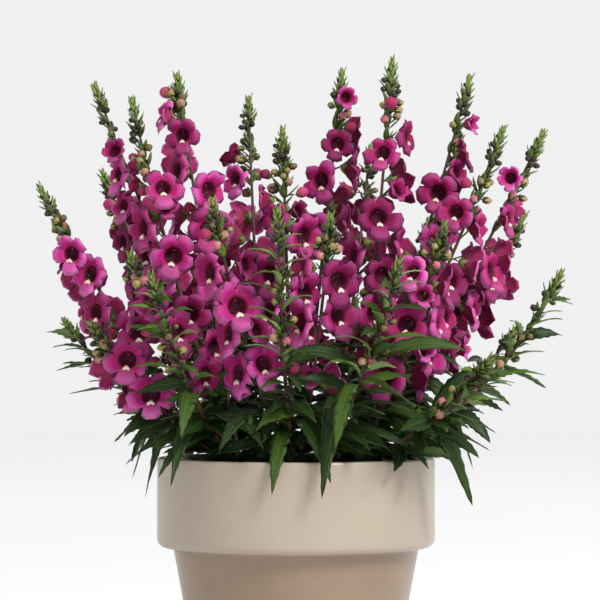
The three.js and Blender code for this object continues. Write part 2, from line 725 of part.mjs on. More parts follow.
// A blade with a raised rib: both faces are split alike, and meet in a thin toothed edge.
function leafSolid(leaf, grow = 0) {
  const skin = new Skin();
  const ribs = leaf.isLarge ? SKIRT_RIBS : SMALL_RIBS;
  const base = skin.add(leaf.curve.getPoint(0));
  const tipPoint = leaf.curve.getPoint(1);
  const onwards = tipPoint.clone().sub(leaf.curve.getPoint(ribs.at(-1))).normalize();
  const tip = skin.add(moved(tipPoint, [onwards, EDGE_GROWTH * grow]));
  const normalAt = (at) => leaf.curve.getTangent(at).cross(leaf.across).normalize();
  const flip = normalAt(0.5).z < 0 ? -1 : 1;
  const rib = (lift) => ribs.map((at) => {
    const point = moved(leaf.curve.getPoint(at), [normalAt(at), flip * lift * (LEAF_HALF_THICK + grow)]);
    return { at, corner: skin.add(point) };
  });
  const edge = (hand) => (leaf.isLarge ? SKIRT_EDGE : SMALL_EDGE).map(({ at, cut }) => {
    const half = 0.5 * leaf.width * leafShape(at);
    const out = Math.max(half - cut * TOOTH, LEAST_HALF_WIDTH) + EDGE_GROWTH * grow;
    const raise = flip * LEAF_FOLD * out;
    const point = moved(leaf.curve.getPoint(at), [leaf.across, hand * out], [normalAt(at), raise]);
    return { at, corner: skin.add(point) };
  });
  const top = rib(1);
  const under = rib(-1);
  for (const hand of [1, -1]) {
    const side = edge(hand);
    strip(skin, base, tip, side, top, hand > 0);
    strip(skin, base, tip, side, under, hand < 0);
  }
  return skin.solid();
}

// Where a large leaf's edge has its corners: the point of each tooth, then the cut behind it.
function toothedEdge() {
  const steps = [];
  for (let i = 0; i < SKIRT_TEETH; i += 1) {
    const at = TOOTHED[0] + ((TOOTHED[1] - TOOTHED[0]) * i) / (SKIRT_TEETH - 1);
    steps.push({ at, cut: 0 }, { at: at + TOOTH_CUT, cut: 1 });
  }
  return steps;
}

const SKIRT_EDGE = toothedEdge();

// Triangles between an edge and a rib that share their first and last points.
function strip(skin, base, tip, edge, rib, turned) {
  const put = (a, b, c) => skin.faces.push(turned ? [a, c, b] : [a, b, c]);
  let i = 0;
  let j = 0;
  put(base, edge[0].corner, rib[0].corner);
  while (i < edge.length - 1 || j < rib.length - 1) {
    const ribIsDone = j === rib.length - 1;
    const stepEdge = ribIsDone || (i < edge.length - 1 && edge[i + 1].at < rib[j + 1].at);
    if (stepEdge) {
      put(edge[i].corner, edge[i + 1].corner, rib[j].corner);
      i += 1;
    } else {
      put(edge[i].corner, rib[j + 1].corner, rib[j].corner);
      j += 1;
    }
  }
  put(edge[i].corner, tip, rib[j].corner);
}

// A five-lobed flower: lobes round a deep throat, a cup behind it, and a thin stalk to the stem.
function bloomSolid(bloom, grow = 0) {
  const skin = new Skin();
  const outline = [];
  LOBES.forEach((lobe, i) => {
    const next = LOBES[(i + 1) % LOBES.length];
    const gapAngle = lobe.angle + 0.5 * ((next.angle - lobe.angle + 360) % 360);
    for (const side of lobe.half ? [-1, 1] : [0])
      outline.push([lobe.angle + side * lobe.half, lobe.reach, lobe.forward]);
    outline.push([gapAngle, NOTCH_REACH, NOTCH_FORWARD]);
  });
  const edge = EDGE_GROWTH * grow;
  const rimPoints = outline.map(([angle, reach, ahead]) => bloomPoint(bloom, angle, reach + edge, ahead));
  const rim = skin.loop(rimPoints);
  const throat = skin.add(bloomPoint(bloom, 180, 0.8, grow - THROAT_DEPTH));
  const behind = bloomPoint(bloom, 0, 0, -grow - CUP_DEPTH);
  const cup = skin.loop(CUP_CORNERS.map((angle) => {
    const a = radians(angle);
    const radius = STALK_RADIUS + grow;
    return moved(behind, [bloom.across, Math.sin(a) * radius], [bloom.up, Math.cos(a) * radius]);
  }));
  const inwards = bloom.base.clone().sub(behind).normalize();
  const root = skin.add(moved(bloom.base, [inwards, STALK_BEYOND + grow]));
  cup.forEach((corner, i) => skin.faces.push([root, cup[(i + 1) % cup.length], corner]));
  skin.band(cup, rim);
  skin.fan(throat, rim);
  return skin.solid();
}

// A round bud on its stalk.
function budSolid(bud, grow = 0) {
  const across = bud.out.clone().cross(UP).normalize();
  const other = bud.out.clone().cross(across);
  const ring = (point, sides, radius) => corners({ point, across, other }, sides, radius + grow);
  const neck = moved(bud.heart, [bud.out, -BUD_NECK * bud.radius]);
  const [root, top] = BUD_STALK_RADII;
  const rings = [ring(bud.base, 3, root), ring(neck, 3, top), ring(bud.heart, 4, BUD_WAIST * bud.radius)];
  return sweep(rings, moved(bud.heart, [bud.out, bud.radius + grow]));
}

// Cuts from an organ what would cross organs of other nodes, with a small gap.
function trimmed(organ, others) {
  let { solid } = organ;
  const box = solid.boundingBox();
  for (const other of others) {
    const own = other.node === organ.node || other.axisOf === organ.node;
    if (own || !boxesMeet(box, other.box)) continue;
    if (solid.intersect(other.solid).volume() > TOUCH) solid = solid.subtract(other.make(TRIM_GAP));
  }
  return solid;
}

function boxesMeet(a, b) {
  return [0, 1, 2].every((i) => a.min[i] < b.max[i] + GAP && b.min[i] < a.max[i] + GAP);
}

// Whether an edge belongs to more than two faces.
function isPinched(solid) {
  const { vertProperties, triVerts } = solid.getMesh();
  const corner = (i) => vertProperties.slice(3 * triVerts[i], 3 * triVerts[i] + 3).join();
  const seen = new Set();
  for (let i = 0; i < triVerts.length; i += 1) {
    const edge = `${corner(i)} ${corner(i % 3 === 2 ? i - 2 : i + 1)}`;
    if (seen.has(edge)) return true;
    seen.add(edge);
  }
  return false;
}

// One closed body: the largest piece, smoothed as far as its edges stay shared by two faces.
function wholeBody(solid) {
  const smoothed = (length) => {
    const pieces = solid.asOriginal().simplify(length).decompose();
    return pieces.reduce((largest, piece) => (piece.volume() > largest.volume() ? piece : largest));
  };
  let length = SMOOTHING;
  let body = smoothed(length);
  while (isPinched(body) && length > SMOOTHING / 10) {
    length *= 0.7;
    body = smoothed(length);
  }
  return body;
}

const scenePlan = growPlants();

function organ(node, make) {
  const solid = make(0);
  return { node, solid, box: solid.boundingBox(), make };
}

function plantOrgans({ stems, leaves, blooms, buds }) {
  const list = stems.map((stem) => {
    const item = organ(stem.node, (grow) => stemSolid(stem, grow));
    return { ...item, axisOf: racemeNode(stem) };
  });
  for (const leaf of leaves) list.push(organ(leaf.node, (grow) => leafSolid(leaf, grow)));
  for (const bud of buds) list.push(organ(bud.node, (grow) => budSolid(bud, grow)));
  for (const stem of stems.filter((row) => row.blooms))
    list.push(organ(racemeNode(stem), (grow) => coreSolid(stem, grow)));
  for (const bloom of blooms) list.push(organ(racemeNode(bloom.stem), (grow) => bloomSolid(bloom, grow)));
  return list;
}

// Group

const group = new THREE.Group();
group.name = 'potted_angelonia';

const finishes = {
  pot: new THREE.MeshStandardMaterial({ color: 0xb9a892, roughness: 0.35, metalness: 0 }),
  soil: new THREE.MeshStandardMaterial({ color: 0x2b2119, roughness: 0.95, metalness: 0 }),
  green: new THREE.MeshStandardMaterial({ color: 0x3c5a22, roughness: 0.5, metalness: 0 }),
  petals: new THREE.MeshStandardMaterial({ color: 0xb02488, roughness: 0.6, metalness: 0 }),
};

function addMesh(name, solid, finish) {
  const { vertProperties, triVerts } = solid.getMesh();
  const geometry = new THREE.BufferGeometry();
  geometry.setAttribute('position', new THREE.BufferAttribute(new Float32Array(vertProperties), 3));
  geometry.setIndex(new THREE.BufferAttribute(new Uint32Array(triVerts), 1));
  const flat = geometry.toNonIndexed();
  flat.computeVertexNormals();
  const mesh = new THREE.Mesh(flat, finish);
  mesh.name = name;
  group.add(mesh);
}

function potSolid() {
  const bandFoot = POT_HEIGHT - RIM_BAND;
  const profile = [
    [0, 0],
    [BASE_RADIUS, 0],
    [BODY_TOP_RADIUS, bandFoot],
    [RIM_RADIUS - RIM_ROUND, bandFoot],
    [RIM_RADIUS - 0.3 * RIM_ROUND, bandFoot + 0.3 * RIM_ROUND],
    [RIM_RADIUS, bandFoot + RIM_ROUND],
    [RIM_RADIUS, POT_HEIGHT - RIM_EDGE],
    [RIM_RADIUS - RIM_EDGE, POT_HEIGHT],
    [RIM_RADIUS - RIM_WALL, POT_HEIGHT],
    [FLOOR_RADIUS, FLOOR],
    [0, FLOOR],
  ];
  return lathe(profile, POT_SIDES);
}

// The radius of the pot's inner wall at a height.
function innerRadius(z) {
  const taper = (RIM_RADIUS - RIM_WALL - FLOOR_RADIUS) / (POT_HEIGHT - FLOOR);
  return FLOOR_RADIUS + taper * (z - FLOOR);
}

function soilSolid() {
  const bottom = FLOOR + GAP;
  const wave = (x, y) => Math.sin(SOIL_WAVE.x * x + SOIL_WAVE.start) * Math.cos(SOIL_WAVE.y * y);
  const profile = [
    [0, bottom],
    [innerRadius(bottom) - GAP, bottom],
    [innerRadius(SOIL_TOP) - GAP, SOIL_TOP],
    [SOIL_CREST, SOIL_TOP],
    [0, SOIL_TOP],
  ];
  const geometry = new THREE.LatheGeometry(profile.map(([r, z]) => new THREE.Vector2(r, z)), POT_SIDES);
  geometry.rotateX(Math.PI / 2);
  const place = geometry.attributes.position;
  for (let i = 0; i < place.count; i += 1) {
    const x = place.getX(i);
    const y = place.getY(i);
    const inside = Math.hypot(x, y) < SOIL_CREST + 1 && place.getZ(i) > SOIL_TOP - 1;
    if (inside) place.setZ(i, SOIL_TOP + SOIL_BUMP * wave(x, y));
  }
  const holes = COLLARS.map((centre) => {
    const radius = COLLAR_RADIUS + GAP + 0.1;
    const foot = COLLAR_FOOT - GAP;
    const profile = [[0, foot], [radius, foot], [radius, COLLAR_TOP], [0, COLLAR_TOP]];
    return lathe(profile, COLLAR_SIDES).translate([centre.x, centre.y, 0]);
  });
  return holes.reduce((soil, hole) => soil.subtract(hole), solidOf(geometry));
}

addMesh('pot', potSolid(), finishes.pot);
addMesh('soil', soilSolid(), finishes.soil);

const organs = plantOrgans(scenePlan);
const bodies = new Map();
organs.forEach((item, i) => {
  const kept = trimmed(item, organs.slice(0, i));
  if (kept.isEmpty()) return;
  bodies.set(item.node, [...(bodies.get(item.node) ?? []), kept]);
});

COLLARS.forEach((centre, i) => {
  const name = plantNode(i);
  const whole = wasm.Manifold.union([collarSolid(centre), ...(bodies.get(name) ?? [])]);
  addMesh(name, wholeBody(whole), finishes.green);
});

for (const stem of scenePlan.stems.filter((row) => row.blooms)) {
  const name = racemeNode(stem);
  const whole = wasm.Manifold.union(bodies.get(name));
  addMesh(name, wholeBody(whole.subtract(stemSolid(stem, CORE_GAP))), finishes.petals);
}

export default group;
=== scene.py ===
import math

import bmesh
import bpy
import numpy as np
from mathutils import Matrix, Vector, noise


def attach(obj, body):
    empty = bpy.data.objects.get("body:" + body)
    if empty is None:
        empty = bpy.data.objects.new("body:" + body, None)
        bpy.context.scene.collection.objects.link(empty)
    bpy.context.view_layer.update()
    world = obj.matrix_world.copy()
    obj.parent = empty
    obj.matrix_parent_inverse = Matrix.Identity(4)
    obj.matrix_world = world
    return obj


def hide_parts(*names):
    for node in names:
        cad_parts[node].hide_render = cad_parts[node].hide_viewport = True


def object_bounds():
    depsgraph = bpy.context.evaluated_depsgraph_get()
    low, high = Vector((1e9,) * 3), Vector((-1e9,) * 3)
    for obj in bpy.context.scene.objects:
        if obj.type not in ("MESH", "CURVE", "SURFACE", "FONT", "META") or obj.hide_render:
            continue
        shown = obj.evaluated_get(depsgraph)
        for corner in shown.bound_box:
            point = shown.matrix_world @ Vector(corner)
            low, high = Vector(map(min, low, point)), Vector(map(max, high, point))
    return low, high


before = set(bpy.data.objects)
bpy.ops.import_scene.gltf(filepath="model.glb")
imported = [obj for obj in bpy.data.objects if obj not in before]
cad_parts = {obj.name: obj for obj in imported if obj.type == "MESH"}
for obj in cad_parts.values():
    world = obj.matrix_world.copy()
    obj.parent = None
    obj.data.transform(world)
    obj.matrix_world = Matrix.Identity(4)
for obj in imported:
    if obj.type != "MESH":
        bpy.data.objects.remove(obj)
cad_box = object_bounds()

# The plan of the plant repeats the part's own, in millimetres. Meshes are made in metres.
MM = 0.001

# Pot and soil
POT_HEIGHT = 145.0
RIM_RADIUS = 80.0
RIM_BAND = 51.0
RIM_WALL = 5.5
RIM_ROUND = 4.5
RIM_EDGE = 1.4
BODY_TOP_RADIUS = 70.8
BASE_RADIUS = 53.3
BASE_EDGE = 1.5
FLOOR_RADIUS = 48.0
FLOOR = 8.0
SOIL_TOP = 133.0
SOIL_BUMP = 1.2
GAP = 0.3

# Root collars and stems
COLLAR_RADIUS = 4.6
COLLAR_TOP = 142.0
COLLAR_RING = 31.0
COLLARS_ROUND = 5
STEM_ROOT = 138.0
STEM_ROOT_OFFSET = 1.8
ROOT_SHARE = 0.3
STEM_RADIUS = 1.5
STEM_TAPER = 0.85
STEM_STATIONS = [0, 0.3, 0.62, 0.93, 1]
FRONT_BIAS = 40.0
CORE_WALL = 1.1
CORE_GAP = 0.45

# Blooms
BLOOM_SPACING = 11.2
BLOOM_SCALE = 1.08
BLOOM_REACH = 13.0
BLOOM_RISE = 3.0
TOP_BLOOM = 0.82
TOP_STRETCH = 0.8
THROAT_DEPTH = 4.5
CUP_DEPTH = 7.5
LOBE_BALL = 3.7
LOBE_BALL_REACH = 0.7
LOBE_BALL_AHEAD = 0.5
THROAT_BALL = 4.2
THROAT_BALL_AHEAD = -3
# Each lobe of a flower: angle from straight up, reach, and how far it is forward.
LOBES = [
    (-104, 12.4, 1.6),
    (-42, 12.4, 1.4),
    (42, 12.4, 1.4),
    (104, 12.4, 1.6),
    (180, 14.0, 2.6),
]

# Leaves and buds
LEAF_SKEW = 0.8
LEAF_FULLNESS = 0.9
LEAF_FOLD = 0.2
TOOTH = 0.8
STEM_LEAF_TEETH = 5
SKIRT_TEETH = 9
SKIRT_ARCH = 0.22
SKIRT_SAG = 0.1
LEAF_SLANT = (44, 74)
YOUNG_SLANT = (22, 44)
YOUNG_WIDTH = 0.75
LEAF_BALL_PLACES = [0.3, 0.45, 0.6, 0.75, 0.9]
LEAF_BALL_SHARE = 0.36
LEAF_BALL_LEAST = 0.7
LEAF_BALL_THIN = 1.7
BUD_RADIUS = 2.35
BUD_STALK = 6.5
BUD_LIFT = 0.25
BUD_SAG = 0.6
BUDS_PER_RACEME = 2
BUDS_PER_SHOOT = 1
BUD_MARGIN = 0.04
BUD_END = 0.94
SHOOT_BUDS = (0.62, 0.92)
LOW_LEAVES = {"from": 0.12, "margin": 0.03, "length": 50, "outer": 2, "inner": 1, "outer_reach": 90}
LOW_DROOP = 1.1
SHOOT_DROOP = 0.7

# Growing room
SHARED = 0.85
CLEARANCE = 0.6
CELL = 12.0
ABOVE_RIM = 1.0
OUTSIDE_RIM = 0.6
INSIDE_RIM = 1.0
ABOVE_SOIL = 0.4
STEM_BALL_STEP = 4
STEM_BALL_EXTRA = 0.2
STEM_BALLS_END = 0.94
TIP_BALL = 4
TIP_BALL_AT = 0.97
MOST_INWARDS = -0.3
GOLDEN = math.radians(137.5)
SIDE_STEPS = [0, 25, -25, 50, -50, 75, -75, 100, -100]
SEEDS = {
    "blooms": 4001,
    "leaves": 9001,
    "buds": 7001,
    "half_open": 500,
    "extra_buds": 31,
    "young_leaves": 91,
    "plants": 100,
    "racemes": 300,
    "crumbs": 55,
}
SEED_STEP = 97

# Flowering stems: key, tip, bow, and the stretch that carries blooms.
RACEMES = [
    ("A", (-148, -10, 302), 0.58, (0.46, 0.8)),
    ("B", (-121, 45, 367), 0.54, (0.36, 0.76)),
    ("C", (-93, -40, 350), 0.58, (0.32, 0.78)),
    ("D", (-69, 0, 368), 0.54, (0.34, 0.9)),
    ("F", (-29, 60, 361), 0.52, (0.38, 0.78)),
    ("G", (-8, -5, 335), 0.5, (0.36, 0.8)),
    ("J", (27, 20, 372), 0.52, (0.36, 0.86)),
    ("K", (55, -25, 374), 0.58, (0.32, 0.84)),
    ("M", (103, 30, 370), 0.54, (0.34, 0.8)),
    ("O", (119, -20, 335), 0.54, (0.34, 0.76)),
    ("P", (145, 10, 335), 0.54, (0.38, 0.78)),
    ("T", (-116, -45, 223), 0.62, (0.42, 0.8)),
    ("U", (-46, -84, 290), 0.62, (0.34, 0.84)),
    ("V", (19, -88, 282), 0.62, (0.34, 0.84)),
    ("W", (82, -78, 278), 0.62, (0.34, 0.84)),
    ("X", (-92, -72, 262), 0.62, (0.34, 0.84)),
    ("E", (-119, 78, 317), 0.56, (0.4, 0.8)),
    ("L", (46, 112, 336), 0.58, (0.34, 0.8)),
    ("N", (102, 92, 340), 0.56, (0.36, 0.8)),
    ("Y", (-58, 108, 315), 0.6, (0.34, 0.8)),
    ("Z", (-6, 126, 300), 0.62, (0.34, 0.82)),
    ("G2", (138, 56, 290), 0.6, (0.4, 0.8)),
    ("H2", (84, 128, 292), 0.62, (0.38, 0.8)),
    ("J2", (-132, 28, 262), 0.62, (0.42, 0.82)),
    ("K2", (-94, 122, 280), 0.62, (0.4, 0.8)),
]

# Leafy shoots: key, tip, bow, the stretch with leaves, how many, and the longest leaf.
SHOOTS = [
    ("H", (-10, -98, 286), 0.72, (0.4, 0.9), 7, 28),
    ("I", (-79, -92, 249), 0.66, (0.3, 0.92), 7, 34),
    ("R", (56, -104, 257), 0.7, (0.25, 0.92), 8, 44),
    ("S", (106, -104, 203), 0.62, (0.3, 0.92), 7, 42),
    ("Q", (151, -28, 252), 0.7, (0.3, 0.94), 7, 38),
    ("S2", (136, 84, 222), 0.66, (0.3, 0.92), 6, 42),
    ("R2", (38, 140, 240), 0.7, (0.25, 0.92), 6, 44),
    ("I2", (-68, 136, 232), 0.68, (0.25, 0.92), 6, 42),
    ("Q2", (-142, 78, 226), 0.66, (0.3, 0.92), 6, 42),
]

# Large lower leaves: the stem they grow from, where along it, the tip, the width, and the roll in degrees.
SKIRT = [
    ("S", 0.44, (98, -56, 120), 15, 55),
    ("W", 0.28, (76, -78, 158), 12, 30),
    ("S", 0.38, (101, -66, 147), 13, 40),
    ("S", 0.5, (114, -56, 188), 14, 55),
    ("R", 0.6, (94, -84, 205), 11, 50),
    ("R", 0.56, (-8, -94, 202), 11, -50),
    ("R", 0.44, (14, -95, 126), 16, -15),
    ("R", 0.5, (21, -99, 152), 12, 0),
    ("V", 0.3, (21, -90, 160), 12, 0),
    ("H", 0.28, (19, -92, 134), 13, 10),
    ("V", 0.26, (-22, -88, 162), 13, -30),
    ("H", 0.22, (-13, -92, 128), 12, 0),
    ("I", 0.34, (-17, -90, 152), 14, 20),
    ("U", 0.26, (-42, -88, 151), 12, -15),
    ("I", 0.46, (-62, -92, 158), 12, -10),
    ("I", 0.24, (-76, -60, 136), 11, -40),
    ("X", 0.3, (-69, -66, 131), 11, -30),
    ("T", 0.36, (-86, -18, 122), 10, -50),
    ("T", 0.4, (-96, -50, 158), 13, -50),
    ("P", 0.28, (102, -4, 138), 12, 40),
    ("Q", 0.36, (110, -28, 154), 13, 40),
    ("G2", 0.3, (98, 32, 126), 13, 25),
    ("S2", 0.4, (94, 62, 142), 14, -30),
    ("N", 0.26, (70, 76, 124), 13, 20),
    ("H2", 0.32, (54, 96, 138), 14, -25),
    ("R2", 0.34, (26, 96, 122), 13, 15),
    ("Z", 0.3, (-2, 100, 144), 14, -15),
    ("Y", 0.28, (-28, 92, 121), 13, 20),
    ("I2", 0.38, (-52, 90, 138), 14, -20),
    ("K2", 0.3, (-70, 74, 124), 13, 25),
    ("Q2", 0.4, (-98, 48, 140), 13, 30),
    ("J2", 0.32, (-96, 22, 131), 12, -30),
]

EAST = np.array([1.0, 0.0, 0.0])
NORTH = np.array([0.0, 1.0, 0.0])
UP = np.array([0.0, 0.0, 1.0])


# Plan

class Draw:
    """A seeded draw of numbers from 0 to 1."""

    def __init__(self, seed):
        self.state = seed & 0xFFFFFFFF

    def next(self):
        self.state = (self.state * 1664525 + 1013904223) & 0xFFFFFFFF
        return self.state / 4294967296

    def between(self, low, high):
        return low + (high - low) * self.next()


def vec(x, y, z):
    return np.array([x, y, z], dtype=float)


def unit(v):
    return v / math.sqrt(v @ v)


def cross(a, b):
    return np.array([
        a[1] * b[2] - a[2] * b[1],
        a[2] * b[0] - a[0] * b[2],
        a[0] * b[1] - a[1] * b[0],
    ])


def turned(v, axis, angle):
    """A direction turned about an axis by the right-hand rule."""
    c = math.cos(angle)
    s = math.sin(angle)
    return v * c + cross(axis, v) * s + axis * (axis @ v) * (1 - c)


def spoke(across, other, angle):
    """The direction at an angle from one direction towards another that is square to it."""
    return across * math.cos(angle) + other * math.sin(angle)


class Arch:
    """A smooth curve from a start towards a knee and on to an end."""

    def __init__(self, start, knee, end):
        self.start = start
        self.knee = knee
        self.end = end

    def point(self, t):
        return (1 - t) ** 2 * self.start + 2 * (1 - t) * t * self.knee + t * t * self.end

    def tangent(self, t):
        step = 0.0001
        return unit(self.point(min(t + step, 1)) - self.point(max(t - step, 0)))

    def length(self, steps=200):
        points = [self.point(i / steps) for i in range(steps + 1)]
        return sum(math.dist(a, b) for a, b in zip(points, points[1:]))


class Ball:
    """A round space that part of an organ takes up."""

    def __init__(self, point, radius, thin=None, stem=False):
        self.point = point
        self.radius = radius
        self.thin = radius if thin is None else thin
        self.stem = stem


def clear_of_pot(ball):
    """Above the rim, outside the pot, or inside it above the soil."""
    out = math.hypot(ball.point[0], ball.point[1])
    low = ball.point[2] - ball.thin
    if low > POT_HEIGHT + ABOVE_RIM or out - ball.thin > RIM_RADIUS + OUTSIDE_RIM:
        return True
    is_within = out + ball.thin < RIM_RADIUS - RIM_WALL - INSIDE_RIM
    return is_within and low > SOIL_TOP + SOIL_BUMP + ABOVE_SOIL


class Room:
    """The space that organs already take up, as balls in a grid of cells."""

    def __init__(self):
        self.cells = {}

    def cells_near(self, point, span):
        low = [math.floor((v - span) / CELL) for v in point]
        high = [math.floor((v + span) / CELL) for v in point]
        return [
            (i, j, k)
            for i in range(low[0], high[0] + 1)
            for j in range(low[1], high[1] + 1)
            for k in range(low[2], high[2] + 1)
        ]

    def claim(self, balls, node):
        for ball in balls:
            for key in self.cells_near(ball.point, ball.radius):
                self.cells.setdefault(key, []).append((ball, node))

    def is_free(self, balls, node):
        return all(clear_of_pot(ball) and not self.is_taken(ball, node) for ball in balls)

    def is_taken(self, ball, node):
        for key in self.cells_near(ball.point, ball.radius + CLEARANCE):
            for other, owner in self.cells.get(key, ()):
                if owner == node and other.stem:
                    continue
                together = ball.radius + other.radius
                least = SHARED * together if owner == node else together + CLEARANCE
                if math.dist(ball.point, other.point) < least:
                    return True
        return False


def collar_points():
    """Six young plants: one in the middle and five round it."""
    points = [vec(0, 0, 0)]
    for i in range(COLLARS_ROUND):
        angle = math.radians(90 + 360 * (i + 0.5) / COLLARS_ROUND)
        points.append(COLLAR_RING * spoke(EAST, NORTH, angle))
    return points


COLLARS = collar_points()


class Stem:
    """A stem that arches from the collar that lies nearest below it up to its tip."""

    def __init__(self, key, tip, bow):
        self.key = key
        self.tip = vec(*tip)
        below = ROOT_SHARE * vec(tip[0], tip[1], 0)
        distances = [math.dist(collar, below) for collar in COLLARS]
        self.plant = distances.index(min(distances))
        collar = COLLARS[self.plant]
        lean = unit(vec(tip[0] - collar[0], tip[1] - collar[1], 0))
        root = vec(collar[0], collar[1], STEM_ROOT) + STEM_ROOT_OFFSET * lean
        knee = root + (self.tip - root) * vec(bow, bow, 1 - bow)
        self.curve = Arch(root, knee, self.tip)
        self.stations = [self.station(at) for at in STEM_STATIONS]
        self.span = self.curve.length()
        self.outward = unit(vec(tip[0], tip[1] - FRONT_BIAS, 0))
        self.node = f"plant_{self.plant + 1}"
        self.raceme = f"raceme_{key}"
        self.blooms = None

    def station(self, at):
        point = self.curve.point(at)
        along = self.curve.tangent(at)
        across = unit(EAST - along * along[0])
        return point, across, cross(along, across)

    def section(self, at):
        """The cross-section between two stations, on the straight line that joins them."""
        i = 0
        while i < len(STEM_STATIONS) - 2 and STEM_STATIONS[i + 1] < at:
            i += 1
        share = (at - STEM_STATIONS[i]) / (STEM_STATIONS[i + 1] - STEM_STATIONS[i])
        return [a + (b - a) * share for a, b in zip(self.stations[i], self.stations[i + 1])]

    def radius(self, at):
        return STEM_RADIUS - STEM_TAPER * at

    def balls(self, start, end, extra):
        count = math.ceil(self.span * (end - start) / STEM_BALL_STEP)
        places = [start + (end - start) * i / count for i in range(count + 1)]
        return [Ball(self.section(at)[0], self.radius(at) + extra, stem=True) for at in places]

    def sideways(self, at, angle):
        """The direction across the stem at an angle. One that points inwards is turned to the outside."""
        _, across, other = self.section(at)
        side = unit(spoke(across, other, angle))
        out = side @ self.outward
        return side if out >= MOST_INWARDS else unit(side - 2 * out * self.outward)


class Bloom:
    """Where an open flower stands, which way it faces, and how large it is."""

    def __init__(self, stem, at, angle, draw):
        turn, lift, roll, size = draw
        side = stem.sideways(at, angle)
        self.base = stem.section(at)[0]
        facing = turned(unit(vec(side[0], side[1], 0)), UP, turn)
        facing[2] = lift
        self.facing = unit(facing)
        self.heart = self.base + side * BLOOM_REACH * (0.6 + 0.4 * size) + UP * BLOOM_RISE
        self.up = turned(unit(UP - self.facing * self.facing[2]), self.facing, roll)
        self.across = cross(self.facing, self.up)
        self.size = size
        self.stem = stem
        self.at = at
        self.side = side
        self.node = stem.raceme
        self.closed = 0.0

    def offset(self, aside, rise, forward):
        return self.heart + (self.across * aside + self.up * rise + self.facing * forward) * self.size

    def point(self, angle, reach, forward):
        a = math.radians(angle)
        return self.offset(math.sin(a) * reach, math.cos(a) * reach, forward)

    def balls(self):
        places = [self.point(a, LOBE_BALL_REACH * reach, LOBE_BALL_AHEAD) for a, reach, _ in LOBES]
        throat = Ball(self.point(0, 0, THROAT_BALL_AHEAD), THROAT_BALL * self.size)
        return [throat] + [Ball(place, LOBE_BALL * self.size) for place in places]


def leaf_shape(at):
    """The half width along a leaf as a share of its greatest: widest before the middle, a long point."""
    return math.sin(math.pi * at ** LEAF_SKEW) ** LEAF_FULLNESS if 0 < at < 1 else 0.0


class Leaf:
    """A blade along an arch, with a width across it."""

    def __init__(self, node, curve, across, width, teeth):
        self.node = node
        self.curve = curve
        self.across = across
        self.width = width
        self.teeth = teeth
        self.is_young = False

    def balls(self):
        broad = LEAF_BALL_SHARE * self.width
        return [
            Ball(self.curve.point(t), broad * leaf_shape(t) + LEAF_BALL_LEAST, LEAF_BALL_THIN)
            for t in LEAF_BALL_PLACES
        ]


def stem_leaf(stem, at, angle, draw):
    """A leaf that leaves the stem at a slant, arches out and droops at its end."""
    slant, droop, roll, length, width = draw
    side = stem.sideways(at, angle)
    base = stem.section(at)[0]
    along = stem.curve.tangent(at)
    rise = unit(side * math.sin(slant) + along * math.cos(slant))
    fall = unit(unit(vec(side[0], side[1], 0)) - UP * droop)
    middle = base + rise * 0.5 * length
    across = turned(unit(cross(side, along)), rise, roll)
    return Leaf(stem.node, Arch(base, middle, middle + fall * 0.5 * length), across, width, STEM_LEAF_TEETH)


def skirt_leaf(stem, at, tip, width, roll):
    """A lower leaf that arches from its stem over the rim to a given tip."""
    base = stem.section(at)[0]
    tip = vec(*tip)
    reach = tip - base
    middle = base + 0.5 * reach
    middle[2] = max(base[2], tip[2]) + SKIRT_ARCH * math.dist(tip, base) - SKIRT_SAG * (base[2] - tip[2])
    across = turned(unit(cross(reach, UP)), unit(reach), math.radians(roll))
    return Leaf(stem.node, Arch(base, middle, tip), across, width, SKIRT_TEETH)


class Bud:
    """A round bud on its stalk; share runs from the oldest, 0, to the youngest, 1."""

    def __init__(self, stem, at, angle, share):
        side = stem.sideways(at, angle)
        self.base = stem.section(at)[0]
        self.out = unit(side + UP * BUD_LIFT)
        self.heart = self.base + self.out * BUD_STALK * (1.1 - 0.5 * share) - UP * BUD_SAG * (1 - share)
        self.radius = BUD_RADIUS * (1.05 - 0.35 * share)
        self.share = share
        self.stem = stem
        self.at = at
        self.side = side
        self.node = stem.node

    def balls(self):
        return [Ball(self.heart, self.radius)]


def first_free(room, make, node, start):
    """The organ at the first of the side steps where there is room for it, or None."""
    for turn in SIDE_STEPS:
        made = make(start + math.radians(turn))
        balls = made.balls()
        if room.is_free(balls, node):
            room.claim(balls, node)
            return made
    return None


def place_up(node, room, stretch, count, random, prepare):
    """Organs up a stretch, a golden angle apart; prepare(share, at) gives the way to make one at an angle."""
    start = random.between(0, 2 * math.pi)
    placed = []
    for i in range(count):
        share = (i + 0.5) / count
        at = stretch[0] + (stretch[1] - stretch[0]) * share
        placed.append(first_free(room, prepare(share, at), node, start + GOLDEN * i))
    return [organ for organ in placed if organ]


def place_blooms(stem, index, room):
    start, end = stem.blooms
    count = math.floor(stem.span * (end - start) / BLOOM_SPACING + 0.5)
    random = Draw(SEEDS["blooms"] + SEED_STEP * index)

    def prepare(share, at):
        turn = math.radians(random.between(-18, 18))
        lift = random.between(-0.12, 0.3)
        roll = math.radians(random.between(-14, 14))
        size = BLOOM_SCALE * (TOP_BLOOM if share > TOP_STRETCH else 1) * random.between(0.93, 1.05)
        return lambda angle: Bloom(stem, at, angle, (turn, lift, roll, size))

    return place_up(stem.raceme, room, stem.blooms, count, random, prepare)


